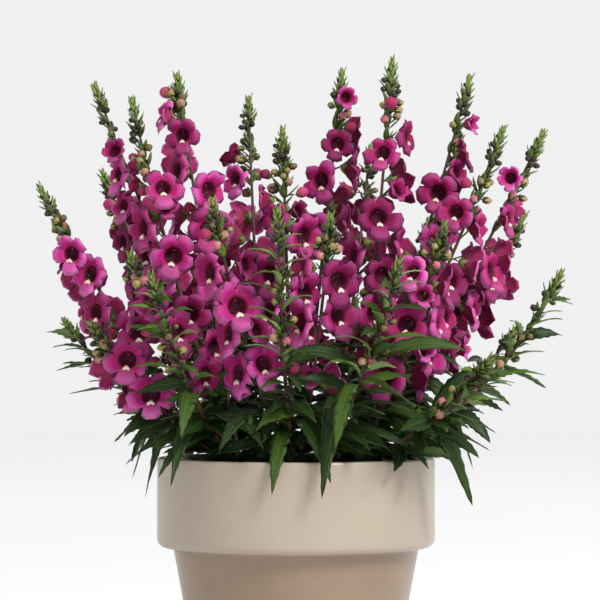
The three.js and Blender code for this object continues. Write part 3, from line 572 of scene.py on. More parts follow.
def place_leaves(stem, index, room, stretch, count, longest, most_droop, seed=SEEDS["leaves"], young=False):
    """Leaves up a stretch of a stem. The young ones are slim and stand close to it."""
    random = Draw(seed + SEED_STEP * index)

    def prepare(share, at):
        length = longest * (1 - 0.5 * share * share) * random.between(0.85, 1.1)
        slant = math.radians(random.between(*(YOUNG_SLANT if young else LEAF_SLANT)))
        droop = random.between(0.1, most_droop)
        roll = math.radians(random.between(-42, 42))
        width = (0.22 * length + 1) * random.between(0.9, 1.15) * (YOUNG_WIDTH if young else 1)
        return lambda angle: stem_leaf(stem, at, angle, (slant, droop, roll, length, width))

    found = place_up(stem.node, room, stretch, count, random, prepare)
    for leaf in found:
        leaf.is_young = young
    return found


def place_buds(stem, index, room, stretch, count, seed=SEEDS["buds"]):
    def prepare(share, at):
        return lambda angle: Bud(stem, at, angle, share)

    return place_up(stem.node, room, stretch, count, Draw(seed + SEED_STEP * index), prepare)


def grow_stems():
    stems = [Stem(*row[:3]) for row in RACEMES + SHOOTS]
    for stem, row in zip(stems, RACEMES):
        stem.blooms = row[3]
    return stems


class Plan:
    """Every stem and what grows on it, each organ clear of the others."""

    def __init__(self):
        self.stems = grow_stems()
        self.room = Room()
        self.claim_stems()
        named = {stem.key: stem for stem in self.stems}
        self.leaves = [skirt_leaf(named[key], *row) for key, *row in SKIRT]
        for leaf in self.leaves:
            self.room.claim(leaf.balls(), leaf.node)
        self.blooms = []
        self.buds = []
        numbered = list(enumerate(self.stems))
        racemes = numbered[:len(RACEMES)]
        for (index, stem), (_, _, _, stretch, count, longest) in zip(numbered[len(RACEMES):], SHOOTS):
            self.leaves += place_leaves(stem, index, self.room, stretch, count, longest, SHOOT_DROOP)
        for index, stem in racemes:
            self.blooms += place_blooms(stem, index, self.room)
        for index, stem in racemes:
            self.leaves += self.low_leaves(stem, index)
        for index, stem in numbered:
            stretch = (stem.blooms[1] + BUD_MARGIN, BUD_END) if stem.blooms else SHOOT_BUDS
            count = BUDS_PER_RACEME if stem.blooms else BUDS_PER_SHOOT
            self.buds += place_buds(stem, index, self.room, stretch, count)

    def claim_stems(self):
        for stem in self.stems:
            self.room.claim(stem.balls(0, STEM_BALLS_END, STEM_BALL_EXTRA), stem.node)
            self.room.claim([Ball(stem.section(TIP_BALL_AT)[0], TIP_BALL)], stem.node)
            if stem.blooms:
                self.room.claim(stem.balls(*stem.blooms, CORE_WALL + CORE_GAP), stem.raceme)

    def low_leaves(self, stem, index):
        is_outer = math.hypot(stem.tip[0], stem.tip[1]) > LOW_LEAVES["outer_reach"]
        count = LOW_LEAVES["outer"] if is_outer else LOW_LEAVES["inner"]
        stretch = (LOW_LEAVES["from"], stem.blooms[0] - LOW_LEAVES["margin"])
        return place_leaves(stem, index, self.room, stretch, count, LOW_LEAVES["length"], LOW_DROOP)


# Mesh of a piece

SAME_PLACE = 1e-7


def put(name, data):
    """A new object of the scene."""
    obj = bpy.data.objects.new(name, data)
    bpy.context.scene.collection.objects.link(obj)
    return obj


class Growth:
    """The mesh of one piece, made of closed skins. Each skin is a grid wrapped round an organ."""

    def __init__(self, name, finishes):
        self.name = name
        self.finishes = finishes
        self.mesh = bpy.data.meshes.new(name)
        self.whole = bmesh.new()

    def wrap(self, columns, rows, place, finish, tone):
        """Wraps a grid: place(i, j) is the point, in millimetres, of column i and row j.

        The skin is made by itself and then joins the whole, because operators are slow in a large mesh.
        """
        skin = bmesh.new()
        skin.loops.layers.uv.new("UVMap")
        shade = skin.verts.layers.float.new("tone")
        bmesh.ops.create_grid(skin, x_segments=columns, y_segments=rows, size=0.5, calc_uvs=True)
        for vert in skin.verts:
            i = round((vert.co.x + 0.5) * columns)
            j = round((vert.co.y + 0.5) * rows)
            vert.co = Vector(place(i % columns, j)) * MM
            vert[shade] = tone
        bmesh.ops.remove_doubles(skin, verts=skin.verts, dist=SAME_PLACE)
        bmesh.ops.recalc_face_normals(skin, faces=skin.faces)
        for face in skin.faces:
            face.smooth = True
            face.material_index = self.finishes.index(finish)
        skin.to_mesh(self.mesh)
        skin.free()
        self.whole.from_mesh(self.mesh)

    def tube(self, curve, radii, sides, finish, tone):
        """A round stalk along a curve, closed to a point at each end where its radius is nought."""
        rows = len(radii) - 1
        rings = [frame_on(curve, j / rows) for j in range(rows + 1)]

        def place(i, j):
            point, across, other = rings[j]
            return point + radii[j] * spoke(across, other, 2 * math.pi * i / sides)

        self.wrap(sides, rows, place, finish, tone)

    def piece(self, body, *nodes, slot):
        self.whole.to_mesh(self.mesh)
        self.whole.free()
        for finish in self.finishes:
            self.mesh.materials.append(finish)
        obj = put(self.name, self.mesh)
        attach(obj, body)
        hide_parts(*nodes)


def frame_on(curve, at):
    """The point of a curve and two directions across it."""
    along = curve.tangent(at)
    side = EAST if abs(along[0]) < 0.9 else NORTH
    across = unit(side - along * (along @ side))
    return curve.point(at), across, cross(along, across)


# Organs

STEM_SIDES = 7
STEM_ROWS = 18
# Across a leaf, round from its left edge: how far out, and how high above its middle layer.
LEAF_SECTION = [(-1, 0), (-0.5, 0.42), (0, 0.26), (0.5, 0.42), (1, 0), (0, -0.55)]
LEAF_HALF_THICK = 0.5
LEAF_LEAST_HALF = 0.3
TOOTH_LEAN = 0.25
RIPPLE = 0.07
RIPPLE_WAVES = 9
RIPPLE_SKEW = 2


def add_stem(growth, stem, finish, tone):
    radii = [stem.radius(j / STEM_ROWS) for j in range(STEM_ROWS + 1)]
    radii[0] = 0
    radii[-1] = 0
    growth.tube(stem.curve, radii, STEM_SIDES, finish, tone)


def add_leaf(growth, leaf, finish, tone):
    rows = 2 * leaf.teeth + 2
    middle_normal = cross(leaf.curve.tangent(0.5), leaf.across)
    flip = -1 if middle_normal[2] < 0 else 1
    phase = Draw(int(1000 * leaf.width)).between(0, 6)

    def place(i, j):
        out, lift = LEAF_SECTION[i]
        is_tooth = j % 2 == 1
        at = j / rows + (TOOTH_LEAN / rows if is_tooth and j < rows - 1 else 0)
        normal = unit(cross(leaf.curve.tangent(at), leaf.across)) * flip
        point = leaf.curve.point(at)
        if j in (0, rows):
            return point
        shape = leaf_shape(at)
        cut = 0 if is_tooth else TOOTH * min(1, 1.5 * shape)
        half = max(0.5 * leaf.width * shape - cut * abs(out), LEAF_LEAST_HALF)
        wave = math.sin(RIPPLE_WAVES * at + phase + RIPPLE_SKEW * out)
        edge_rise = LEAF_FOLD * half * abs(out) + RIPPLE * leaf.width * wave * out * out
        return point + leaf.across * out * half + normal * (edge_rise + lift * LEAF_HALF_THICK)

    growth.wrap(len(LEAF_SECTION), rows, place, finish, tone)


# Across a bract, round from its left edge: how far out, and how high above its middle layer.
BRACT_SECTION = [(-1, 0), (0, 0.5), (1, 0), (0, -0.5)]
BRACT_THICK = 0.6
BRACT_FOLD = 0.5
BRACT_ROWS = 4
BRACT_BOW = 0.16


def add_bract(growth, stem, at, side, length, width, slant, finish, tone):
    """A small pointed bract that stands off a stem at a slant, in degrees from the stem's own way."""
    base = stem.section(at)[0]
    tip = base + length * spoke(stem.curve.tangent(at), side, math.radians(slant))
    bow = side * BRACT_BOW * length
    curve = Arch(base, 0.5 * (base + tip) + bow, tip)
    across = unit(cross(tip - base, bow))
    up = unit(bow)

    def place(i, j):
        share = j / BRACT_ROWS
        point = curve.point(share)
        if j in (0, BRACT_ROWS):
            return point
        out, lift = BRACT_SECTION[i]
        half = 0.5 * width * math.sin(math.pi * share ** LEAF_SKEW)
        return point + across * out * half + up * (lift * BRACT_THICK - BRACT_FOLD * half * abs(out))

    growth.wrap(len(BRACT_SECTION), BRACT_ROWS, place, finish, tone)


TUFT_TOP = 4.4
TUFT_LENGTH = 19.0
TUFT_TURN = 2.4
TUFT_BRACTS = 20
TUFT_BUDS = 8
BRACT_PAIRS = 6
PAIR_TURN = 1.6
PAIR_WIDTH = 0.36


def add_tuft(growth, stem, bract, bud):
    """The young bracts and the smallest buds that end a stem."""
    _, across, other = frame_on(stem.curve, 1)
    random = Draw(int(abs(stem.tip[0]) * 31 + abs(stem.tip[1]) * 7))
    for i in range(TUFT_BRACTS):
        low = i / (TUFT_BRACTS - 1)
        side = spoke(across, other, TUFT_TURN * i + random.between(-0.25, 0.25))
        at = 1 - (TUFT_TOP + (TUFT_LENGTH - TUFT_TOP) * low) / stem.span
        length = random.between(5.6, 7.4) + 3 * low
        width = 2.7 + 0.6 * low
        slant = 14 + 30 * low + random.between(-8, 8)
        tone = 1 - 0.35 * low
        add_bract(growth, stem, at, side, length, width, slant, bract, tone)
    for i in range(TUFT_BUDS):
        side = spoke(across, other, 1.1 + TUFT_TURN * i)
        below = 5 + 1.9 * i
        aside = 1.3 + 0.24 * i
        radius = 1.0 + 0.11 * i
        at = 1 - below / stem.span
        out = unit(side + stem.curve.tangent(at))
        add_ball(growth, stem.section(at)[0] + side * aside, out, radius, bud, 1)


def add_stem_bracts(growth, stem, finish):
    """Pairs of small leaves up the bare stretch below a stem's tuft."""
    start = stem.blooms[1] - 0.04 if stem.blooms else 0.5
    end = 1 - TUFT_LENGTH / stem.span
    random = Draw(int(abs(stem.tip[1]) * 13 + stem.tip[2]))
    turn = random.between(0, 6)
    for i in range(BRACT_PAIRS):
        at = start + (end - start) * (i + random.next()) / BRACT_PAIRS
        for half in (0, math.pi):
            side = stem.sideways(at, turn + half + random.between(-0.5, 0.5))
            length = random.between(8, 12)
            slant = random.between(24, 46)
            tone = random.between(0.1, 0.6)
            add_bract(growth, stem, at, side, length, PAIR_WIDTH * length, slant, finish, tone)
        turn += PAIR_TURN


BALL_SIDES = 6
BALL_ROWS = 4
BALL_LENGTH = 1.15
BALL_POINT = 1.3
STALK_SIDES = 4


def add_ball(growth, heart, out, radius, finish, tone):
    """A round bud, a little longer than wide, that points out."""
    _, across, other = frame_on(Arch(heart, heart + out, heart + 2 * out), 0)

    def place(i, j):
        polar = math.pi * j / BALL_ROWS
        ring = spoke(across, other, 2 * math.pi * i / BALL_SIDES)
        length = BALL_LENGTH if j < BALL_ROWS else BALL_POINT
        return heart + radius * (length * out * -math.cos(polar) + ring * math.sin(polar))

    growth.wrap(BALL_SIDES, BALL_ROWS, place, finish, tone)


BUD_STALK_RADII = [0.3, 0.42, 0.4, 0.5, 0]
BUD_STALK_BOW = 0.9
BUD_NECK = 0.85


def add_bud(growth, bud, stalk, bract, skin, tone):
    """A bud on its stalk, with the bract below it. The tone also makes one bud larger than another."""
    neck = bud.heart - bud.out * BUD_NECK * bud.radius
    knee = 0.5 * (bud.base + neck) + UP * BUD_STALK_BOW
    growth.tube(Arch(bud.base, knee, neck), BUD_STALK_RADII, STALK_SIDES, stalk, tone)
    add_ball(growth, bud.heart, bud.out, bud.radius * (0.82 + 0.3 * tone), skin, bud.share)
    length = 10 - 3 * bud.share
    width = 4.2 - 1.4 * bud.share
    slant = 30 + 18 * tone
    add_bract(growth, bud.stem, bud.at, bud.side, length, width, slant, bract, 0.8 * tone)


# The petals of a flower: angle from straight up, reach, and how far forward the edge comes.
PETALS = [
    (-107, 12.6, 1.2),
    (-37, 12.2, 1.8),
    (37, 12.2, 1.8),
    (107, 12.6, 1.2),
    (180, 14.2, 2.2),
]
# Columns of a petal: degrees aside of its middle, the share of its reach, and how far it arches forward.
PETAL_COLUMNS = [(-29, 0.92, -0.9), (-11, 1.03, 0.5), (11, 1.02, 0.5), (29, 0.93, -0.9)]
NOTCH_REACH = 8.1
NOTCH_AHEAD = -0.9
PETAL_AND_NOTCH = len(PETAL_COLUMNS) + 1
# Along a flower's skin, from the throat's floor over the edge and back to the cup: share of the petal's reach
# beyond the throat, the throat's own radius, and how far forward.
BLOOM_ROWS = [
    (0.0, 0.0, -THROAT_DEPTH),
    (0.0, 3.5, -3.8),
    (0.0, 4.4, -1.0),
    (0.2, 4.4, 1.2),
    (0.62, 4.4, 1.5),
    (1.0, 4.4, -0.7),
    (0.6, 4.4, 0.6),
    (0.0, 4.9, -3.8),
    (0.0, 0.0, -CUP_DEPTH + 0.6),
]


def bloom_columns():
    """Each column's angle, reach, and how far forward its edge comes. The last of each petal is a notch."""
    columns = []
    for i, (angle, reach, forward) in enumerate(PETALS):
        after = PETALS[(i + 1) % len(PETALS)][0]
        columns += [(angle + aside, reach * share, forward + arch) for aside, share, arch in PETAL_COLUMNS]
        columns.append((angle + 0.5 * ((after - angle) % 360), NOTCH_REACH, NOTCH_AHEAD))
    return columns


# How one petal differs from another: its ruffle, its length, its bend forward, and its turn in degrees.
RUFFLE = (-2.1, 2.1)
PETAL_LENGTH = (0.86, 1.06)
PETAL_BEND = (-2.4, 2.2)
PETAL_TURN = (-8, 8)
# How a flower closes: the share of its petals' reach that it loses, and how far forward they swing.
CLOSED_REACH = 0.5
CLOSED_AHEAD = 6
ANTHER_RADIUS = 0.6
BLOOM_STALK_RADII = [0.3, 0.5, 0.46, 0.5, 0]
BLOOM_STALK_BOW = 2.2


def add_bloom(growth, bloom, petal, young, boss, calyx, stalk, tone):
    """An open, half-open or closed flower with its calyx and its stalk."""
    if bloom.closed == 1:
        add_closed(growth, bloom, young, tone)
    else:
        add_petals(growth, bloom, petal, tone)
    if not bloom.closed:
        add_boss(growth, bloom, boss, tone)
        anther = bloom.offset(0.6 * tone - 0.3, 3.1, -1.4)
        add_ball(growth, anther, bloom.facing, ANTHER_RADIUS, young, tone)
    add_calyx(growth, bloom, calyx, tone)
    back = bloom.point(0, 0, -CUP_DEPTH)
    knee = 0.5 * (bloom.base + back) + UP * BLOOM_STALK_BOW
    growth.tube(Arch(bloom.base, knee, back), BLOOM_STALK_RADII, STALK_SIDES, stalk, tone)


def add_petals(growth, bloom, finish, tone):
    """The petals, joined at the throat, each a little different."""
    columns = bloom_columns()
    random = Draw(int(tone * 100000))
    ruffle = [random.between(*RUFFLE) for _ in columns]
    lengths = [random.between(*PETAL_LENGTH) for _ in PETALS]
    bends = [random.between(*PETAL_BEND) for _ in PETALS]
    turns = [random.between(*PETAL_TURN) for _ in PETALS]

    def place(i, j):
        angle, reach, ahead = columns[i]
        share, throat, forward = BLOOM_ROWS[j]
        petal, column = divmod(i, PETAL_AND_NOTCH)
        is_notch = column == len(PETAL_COLUMNS)
        if not is_notch:
            reach *= lengths[petal]
            ahead += bends[petal]
            angle += turns[petal] * share
        radius = throat + share * (reach - throat) * (1 - CLOSED_REACH * bloom.closed)
        depth = forward + share * ahead + CLOSED_AHEAD * bloom.closed * share
        if not is_notch:
            depth += ruffle[i] * share * share
        return bloom.point(angle, radius, depth)

    growth.wrap(len(columns), len(BLOOM_ROWS) - 1, place, finish, tone)


CLOSED_SIDES = 10
CLOSED_ROWS = 6
CLOSED_TWIST = 14
CLOSED_FOLDS = (-0.06, 0.09)


def add_closed(growth, bloom, finish, tone):
    """A flower about to open: its petals folded over one another to a blunt end."""
    wide = 4.6 + 0.7 * tone
    long = 5.4 + tone

    def place(i, j):
        polar = math.pi * j / CLOSED_ROWS
        angle = 360 / CLOSED_SIDES * i + CLOSED_TWIST * j
        fold = 1 + CLOSED_FOLDS[i % 2] * math.sin(polar)
        return bloom.point(angle, wide * math.sin(polar) * fold, -0.6 - long * math.cos(polar))

    growth.wrap(CLOSED_SIDES, CLOSED_ROWS, place, finish, tone)


# How far each of eight points round the boss rises: two lobes below and a tooth above.
BOSS_OUTLINE = [-0.1, 0.7, 1.9, 0.7, -0.1, -1.5, -0.6, -1.5]
BOSS_ROWS = 4
BOSS_RISE = -4.6
BOSS_AHEAD = 0.8
BOSS_DEPTH = 1.3


def add_boss(growth, bloom, finish, tone):
    """The pale two-lobed swelling at the lower edge of a flower's throat."""
    wide = 2.0 + 0.5 * tone
    shift = 0.8 * (tone - 0.5)

    def place(i, j):
        polar = math.pi * j / BOSS_ROWS
        aside = wide * math.sin(polar) * math.cos(2 * math.pi * i / len(BOSS_OUTLINE))
        rise = BOSS_RISE + BOSS_OUTLINE[i] * math.sin(polar)
        forward = BOSS_AHEAD - BOSS_DEPTH * math.cos(polar) + 0.35 * abs(aside)
        return bloom.offset(aside + shift, rise, forward)

    growth.wrap(len(BOSS_OUTLINE), BOSS_ROWS, place, finish, tone)


SEPALS = 5
# Up the calyx: the radius and how far forward of the cup, at a sepal's point and between two sepals.
CALYX_ROWS = [
    [(0, -0.3), (0, -0.3)],
    [(1.8, 0.6), (1.8, 0.6)],
    [(5.4, 4.3), (2.8, 1.8)],
    [(0, 0.3), (0, 0.3)],
]


def add_calyx(growth, bloom, finish, tone):
    """The pointed sepals behind a flower."""

    def place(i, j):
        radius, forward = CALYX_ROWS[j][i % 2]
        return bloom.point(180 / SEPALS * i, radius, forward - CUP_DEPTH)

    growth.wrap(2 * SEPALS, len(CALYX_ROWS) - 1, place, finish, tone)


# Finishes

def srgb(r, g, b):
    """A colour read off a screen, 0 to 255, as the shader's own values."""
    def linear(c):
        c /= 255
        return c / 12.92 if c <= 0.04045 else ((c + 0.055) / 1.055) ** 2.4
    return (linear(r), linear(g), linear(b), 1.0)


class Finish:
    """A material and one call for each kind of node in it."""

    def __init__(self, name, roughness, **constants):
        self.material = bpy.data.materials.new(name)
        self.material.use_nodes = True
        self.tree = self.material.node_tree
        self.shader = self.tree.nodes["Principled BSDF"]
        self.shader.inputs["Roughness"].default_value = roughness
        for socket, value in constants.items():
            self.shader.inputs[socket.replace("_", " ")].default_value = value

    def feed(self, socket, value):
        """Links a socket to another node's output, or gives it a constant."""
        if isinstance(value, bpy.types.NodeSocket):
            self.tree.links.new(value, socket)
        else:
            socket.default_value = value

    def node(self, kind, outlet, settings=None, **values):
        made = self.tree.nodes.new(kind)
        for name, value in (settings or {}).items():
            setattr(made, name, value)
        for name, value in values.items():
            self.feed(made.inputs[name.replace("_", " ")], value)
        return made.outputs[outlet]

    def math(self, operation, *values):
        made = self.tree.nodes.new("ShaderNodeMath")
        made.operation = operation
        for socket, value in zip(made.inputs, values):
            self.feed(socket, value)
        return made.outputs[0]

    def times(self, first, second):
        return self.math("MULTIPLY", first, second)

    def minus(self, first, second):
        return self.math("SUBTRACT", first, second)

    def over(self, value, limit):
        return self.math("GREATER_THAN", value, limit)

    def under(self, value, limit):
        return self.math("LESS_THAN", value, limit)

    def away(self, value, middle):
        """How far a value is from a middle one, either way."""
        return self.math("ABSOLUTE", self.minus(value, middle))

    def waves(self, value, pace):
        return self.math("SINE", self.times(value, pace))

    def rise(self, value, start, end):
        """0 up to the start, 1 from the end on, and even between them."""
        return self.node("ShaderNodeMapRange", "Result", Value=value, From_Min=start, From_Max=end)

    def ramp(self, value, *stops):
        made = self.tree.nodes.new("ShaderNodeValToRGB")
        elements = made.color_ramp.elements
        while len(elements) < len(stops):
            elements.new(1.0)
        for element, (at, colour) in zip(elements, stops):
            element.position = at
            element.color = colour
        self.feed(made.inputs["Fac"], value)
        return made.outputs["Color"]

    def mix(self, share, first, second, blend="MIX"):
        made = self.tree.nodes.new("ShaderNodeMix")
        made.data_type = "RGBA"
        made.blend_type = blend
        for socket, value in zip((made.inputs[0], made.inputs[6], made.inputs[7]), (share, first, second)):
            self.feed(socket, value)
        return made.outputs[2]

    def place(self):
        return self.node("ShaderNodeTexCoord", "Object")

    def split(self, vector):
        """The three parts of a vector."""
        made = self.tree.nodes.new("ShaderNodeSeparateXYZ")
        self.feed(made.inputs[0], vector)
        return made.outputs

    def around_and_along(self):
        """The two parts of the UV map: round an organ's skin, and along it."""
        return self.split(self.node("ShaderNodeUVMap", "UV", {"uv_map": "UVMap"}))[:2]

    def tone(self):
        return self.node("ShaderNodeAttribute", "Fac", {"attribute_name": "tone"})

    def noise(self, scale, detail=3.0):
        return self.node("ShaderNodeTexNoise", "Fac", Vector=self.place(), Scale=scale, Detail=detail)

    def colour(self, source):
        self.feed(self.shader.inputs["Base Color"], source)
        return self

    def bump(self, height, distance, strength=0.4):
        normal = self.node("ShaderNodeBump", "Normal", Height=height, Distance=distance, Strength=strength)
        self.feed(self.shader.inputs["Normal"], normal)
        return self

    def roughness(self, source, low, high):
        spread = self.node("ShaderNodeMapRange", "Result", Value=source, To_Min=low, To_Max=high)
        self.feed(self.shader.inputs["Roughness"], spread)


BLACK = (0, 0, 0, 1)
WHITE = (1, 1, 1, 1)


def pot_glaze():
    finish = Finish("pot_glaze", 0.34, Coat_Weight=0.2, Coat_Roughness=0.18)
    cloud = finish.noise(18.0, 4.0)
    grain = finish.noise(900.0, 2.0)
    foot = POT_HEIGHT - RIM_BAND
    on_band = finish.rise(finish.split(finish.place())["Z"], (foot - 1) * MM, (foot + 0.5) * MM)
    # Painted light and shade: the pot is one glaze, painted lighter from the foot of the rim up, where it
    # catches the light, and darker on the tapered body below, in the rim's shade.
    band = finish.ramp(cloud, (0.3, srgb(152, 138, 123)), (0.7, srgb(161, 148, 133)))
    body = finish.ramp(cloud, (0.3, srgb(124, 103, 82)), (0.7, srgb(134, 113, 92)))
    glaze_painted_light_and_shade = finish.mix(on_band, body, band)
    finish.colour(finish.mix(finish.times(grain, 0.12), glaze_painted_light_and_shade, srgb(140, 120, 100)))
    finish.roughness(cloud, 0.3, 0.4)
    return finish.bump(grain, 0.0001, 0.25).material


def soil_crumb():
    finish = Finish("soil_crumb", 0.95)
    lumps = finish.noise(140.0, 6.0)
    colour = finish.ramp(lumps, (0.3, srgb(18, 12, 8)), (0.55, srgb(44, 32, 22)), (0.75, srgb(84, 64, 46)))
    return finish.colour(colour).bump(finish.noise(420.0, 5.0), 0.0012, 0.9).material


def stem_skin():
    finish = Finish("stem_skin", 0.5)
    _, along = finish.around_and_along()
    body = finish.ramp(
        along,
        (0.0, srgb(80, 90, 38)),
        (0.3, srgb(104, 70, 50)),
        (0.6, srgb(84, 46, 48)),
        (1.0, srgb(60, 46, 38)),
    )
    streak = finish.noise(260.0, 2.0)
    finish.colour(finish.mix(finish.times(streak, 0.35), body, srgb(46, 26, 28)))
    return finish.bump(streak, 0.0003).material


# Round a leaf's skin from its left edge: where its midrib runs, and from where its back is seen.
MIDRIB = 0.3333
LEAF_BACK = 0.6667
SIDE_VEINS = 75.0
SIDE_VEIN_SLANT = 0.6


def leaf_skin():
    finish = Finish("leaf_skin", 0.48, Specular_IOR_Level=0.2)
    around, along = finish.around_and_along()
    tone = finish.tone()
    from_rib = finish.away(around, MIDRIB)
    # The tone carries painted shade: the leaves low down get the darkest greens.
    blade = finish.ramp(tone, (0.0, srgb(15, 31, 6)), (0.5, srgb(30, 53, 11)), (1.0, srgb(92, 124, 40)))
    cloud = finish.times(finish.noise(90.0), 0.5)
    blade = finish.mix(cloud, blade, srgb(12, 27, 7))
    slope = finish.minus(along, finish.times(from_rib, SIDE_VEIN_SLANT))
    side_vein = finish.times(finish.over(finish.waves(slope, SIDE_VEINS), 0.9), 0.16)
    blade = finish.mix(side_vein, blade, srgb(70, 100, 42))
    rib = finish.under(from_rib, 0.012)
    margin = finish.over(from_rib, 0.3)
    pale = finish.times(finish.math("MAXIMUM", rib, margin), 0.35)
    blade = finish.mix(pale, blade, srgb(100, 122, 56))
    back = finish.ramp(tone, (0.0, srgb(46, 66, 28)), (0.7, srgb(62, 84, 40)), (1.0, srgb(128, 152, 92)))
    finish.colour(finish.mix(finish.over(around, LEAF_BACK), blade, back))
    return finish.bump(finish.minus(cloud, side_vein), 0.0006).material


def bract_skin():
    finish = Finish("bract_skin", 0.45)
    _, along = finish.around_and_along()
    old = finish.ramp(along, (0.0, srgb(38, 56, 22)), (0.6, srgb(44, 62, 26)), (1.0, srgb(50, 44, 32)))
    young = finish.ramp(along, (0.0, srgb(128, 150, 54)), (0.6, srgb(110, 132, 50)), (1.0, srgb(66, 62, 38)))
    finish.colour(finish.mix(finish.tone(), old, young))
    return finish.bump(finish.noise(400.0, 2.0), 0.0002).material


def bud_skin():
    """Pink buds at first, then green and then dark ones up the stem, as the tone says, each in its sepals."""
    finish = Finish("bud_skin", 0.5, Specular_IOR_Level=0.3)
    around, along = finish.around_and_along()
    small = finish.ramp(along, (0.0, srgb(60, 68, 32)), (0.4, srgb(44, 42, 28)), (1.0, srgb(34, 27, 28)))
    green = finish.ramp(along, (0.5, srgb(142, 142, 76)), (0.8, srgb(158, 138, 86)), (1.0, srgb(140, 98, 78)))
    stops = (0.5, srgb(168, 142, 96)), (0.8, srgb(190, 104, 122)), (1.0, srgb(184, 66, 124))
    age = finish.ramp(finish.tone(), (0.0, BLACK), (0.08, BLACK), (0.22, WHITE))
    ripe = finish.mix(age, finish.ramp(along, *stops), green)
    points = finish.times(finish.math("COSINE", finish.times(around, 2 * math.pi * SEPALS)), 0.16)
    sepal = finish.under(along, finish.math("ADD", points, 0.5))
    ripe = finish.mix(sepal, ripe, srgb(58, 62, 32))
    dark = finish.rise(finish.tone(), 0.35, 0.6)
    cloud = finish.times(finish.noise(300.0, 2.0), 0.4)
    finish.colour(finish.mix(cloud, finish.mix(dark, ripe, small), srgb(62, 44, 36)))
    return finish.bump(finish.noise(500.0, 2.0), 0.0002).material


def calyx_skin():
    finish = Finish("calyx_skin", 0.5)
    _, along = finish.around_and_along()
    stops = (0.0, srgb(112, 122, 50)), (0.6, srgb(104, 110, 52)), (1.0, srgb(118, 80, 60))
    finish.colour(finish.ramp(along, *stops))
    return finish.bump(finish.noise(400.0, 2.0), 0.0002).material


def boss_skin():
    finish = Finish("boss_skin", 0.6)
    _, along = finish.around_and_along()
    pale = finish.ramp(
        along,
        (0.3, srgb(160, 50, 100)),
        (0.55, srgb(200, 142, 146)),
        (0.75, srgb(224, 206, 188)),
        (1.0, srgb(232, 222, 204)),
    )
    speck = finish.noise(700.0, 2.0)
    finish.colour(finish.mix(finish.times(speck, 0.5), pale, srgb(196, 140, 140)))
    return finish.bump(speck, 0.0004).material


PETAL_VEINS = 60
CLOSED_VEINS = 30


def petal_shade(finish, zones):
    """Each flower a little different, with clouds of a deeper colour."""
    tones = (0.0, srgb(148, 116, 132)), (0.5, srgb(212, 184, 190)), (1.0, WHITE)
    zones = finish.mix(1.0, zones, finish.ramp(finish.tone(), *tones), "MULTIPLY")
    return finish.mix(finish.times(finish.noise(160.0), 0.5), zones, srgb(120, 6, 66))


def closed_skin():
    finish = Finish("closed_petal_skin", 0.55, Specular_IOR_Level=0.2)
    around, along = finish.around_and_along()
    zones = finish.ramp(
        along,
        (0.0, srgb(120, 110, 58)),
        (0.3, srgb(190, 110, 104)),
        (0.55, srgb(206, 84, 134)),
        (1.0, srgb(186, 44, 112)),
    )
    finish.colour(petal_shade(finish, zones))
    return finish.bump(finish.waves(around, 2 * math.pi * CLOSED_VEINS), 0.0003, 0.3).material


def petal_skin():
    """Along a flower's skin: its dark throat, the petals from the throat to their edge, and their backs."""
    glow = {"Subsurface_Weight": 0.08, "Subsurface_Radius": (0.004, 0.001, 0.003), "Subsurface_Scale": 0.5}
    finish = Finish("petal_skin", 0.62, Specular_IOR_Level=0.16, **glow)
    around, along = finish.around_and_along()
    # The throat is dark maroon, painted darker still towards its floor as shade; the pale lilac towards the
    # petals' edge is partly their own colour and partly painted highlight.
    zones = finish.ramp(
        along,
        (0.0, srgb(14, 6, 4)),
        (0.18, srgb(30, 9, 10)),
        (0.26, srgb(70, 12, 26)),
        (0.31, srgb(160, 30, 86)),
        (0.35, srgb(186, 52, 122)),
        (0.42, srgb(180, 24, 122)),
        (0.56, srgb(216, 96, 180)),
        (0.635, srgb(242, 162, 216)),
        (0.68, srgb(184, 54, 120)),
        (1.0, srgb(146, 70, 76)),
    )
    freckle = finish.times(finish.under(along, 0.28), finish.over(finish.noise(1200.0, 1.0), 0.6))
    zones = finish.mix(finish.times(freckle, 0.5), zones, srgb(150, 84, 88))
    petal_face = finish.under(finish.away(along, 0.5), 0.16)
    # Painted light: the lower lip is painted paler, as it tilts up to catch the light from above.
    lit_lower_lip = finish.times(finish.over(around, 0.78), petal_face)
    zones = finish.mix(finish.times(lit_lower_lip, 0.3), zones, srgb(236, 148, 216))
    upper = finish.times(finish.under(finish.away(around, 0.36), 0.19), petal_face)
    zones = finish.mix(finish.times(upper, 0.22), zones, srgb(134, 8, 84))
    fine = finish.waves(around, 2 * math.pi * PETAL_VEINS)
    veins = finish.times(finish.times(fine, finish.over(along, 0.3)), 0.14)
    zones = petal_shade(finish, zones)
    finish.colour(finish.mix(finish.math("MAXIMUM", veins, 0.0), zones, srgb(104, 4, 60)))
    height = finish.math("ADD", finish.times(fine, 0.15), finish.noise(160.0))
    return finish.bump(height, 0.0006).material


# Pot and soil

def arc(centre, radius, start, end, steps):
    """Points of a rounded corner in a profile of radius and height."""
    angles = [math.radians(start + (end - start) * i / steps) for i in range(steps + 1)]
    return [(centre[0] + radius * math.cos(a), centre[1] + radius * math.sin(a)) for a in angles]


POT_SIDES = 128
POT_SAME_PLACE = 1e-6
EDGE_STEPS = 5
BAND_STEPS = 8
BODY_ROWS = (0.03, 0.35, 0.65, 0.97)
UNDERSIDE_INSET = 8
BAND_INSET = 0.4
BAND_MARGIN = 1.5
LIP_INSET = 0.4
LIP_DEPTH = 4
COVE_WIDE = 1
COVE_HIGH = 3
COVE_INSET = 2


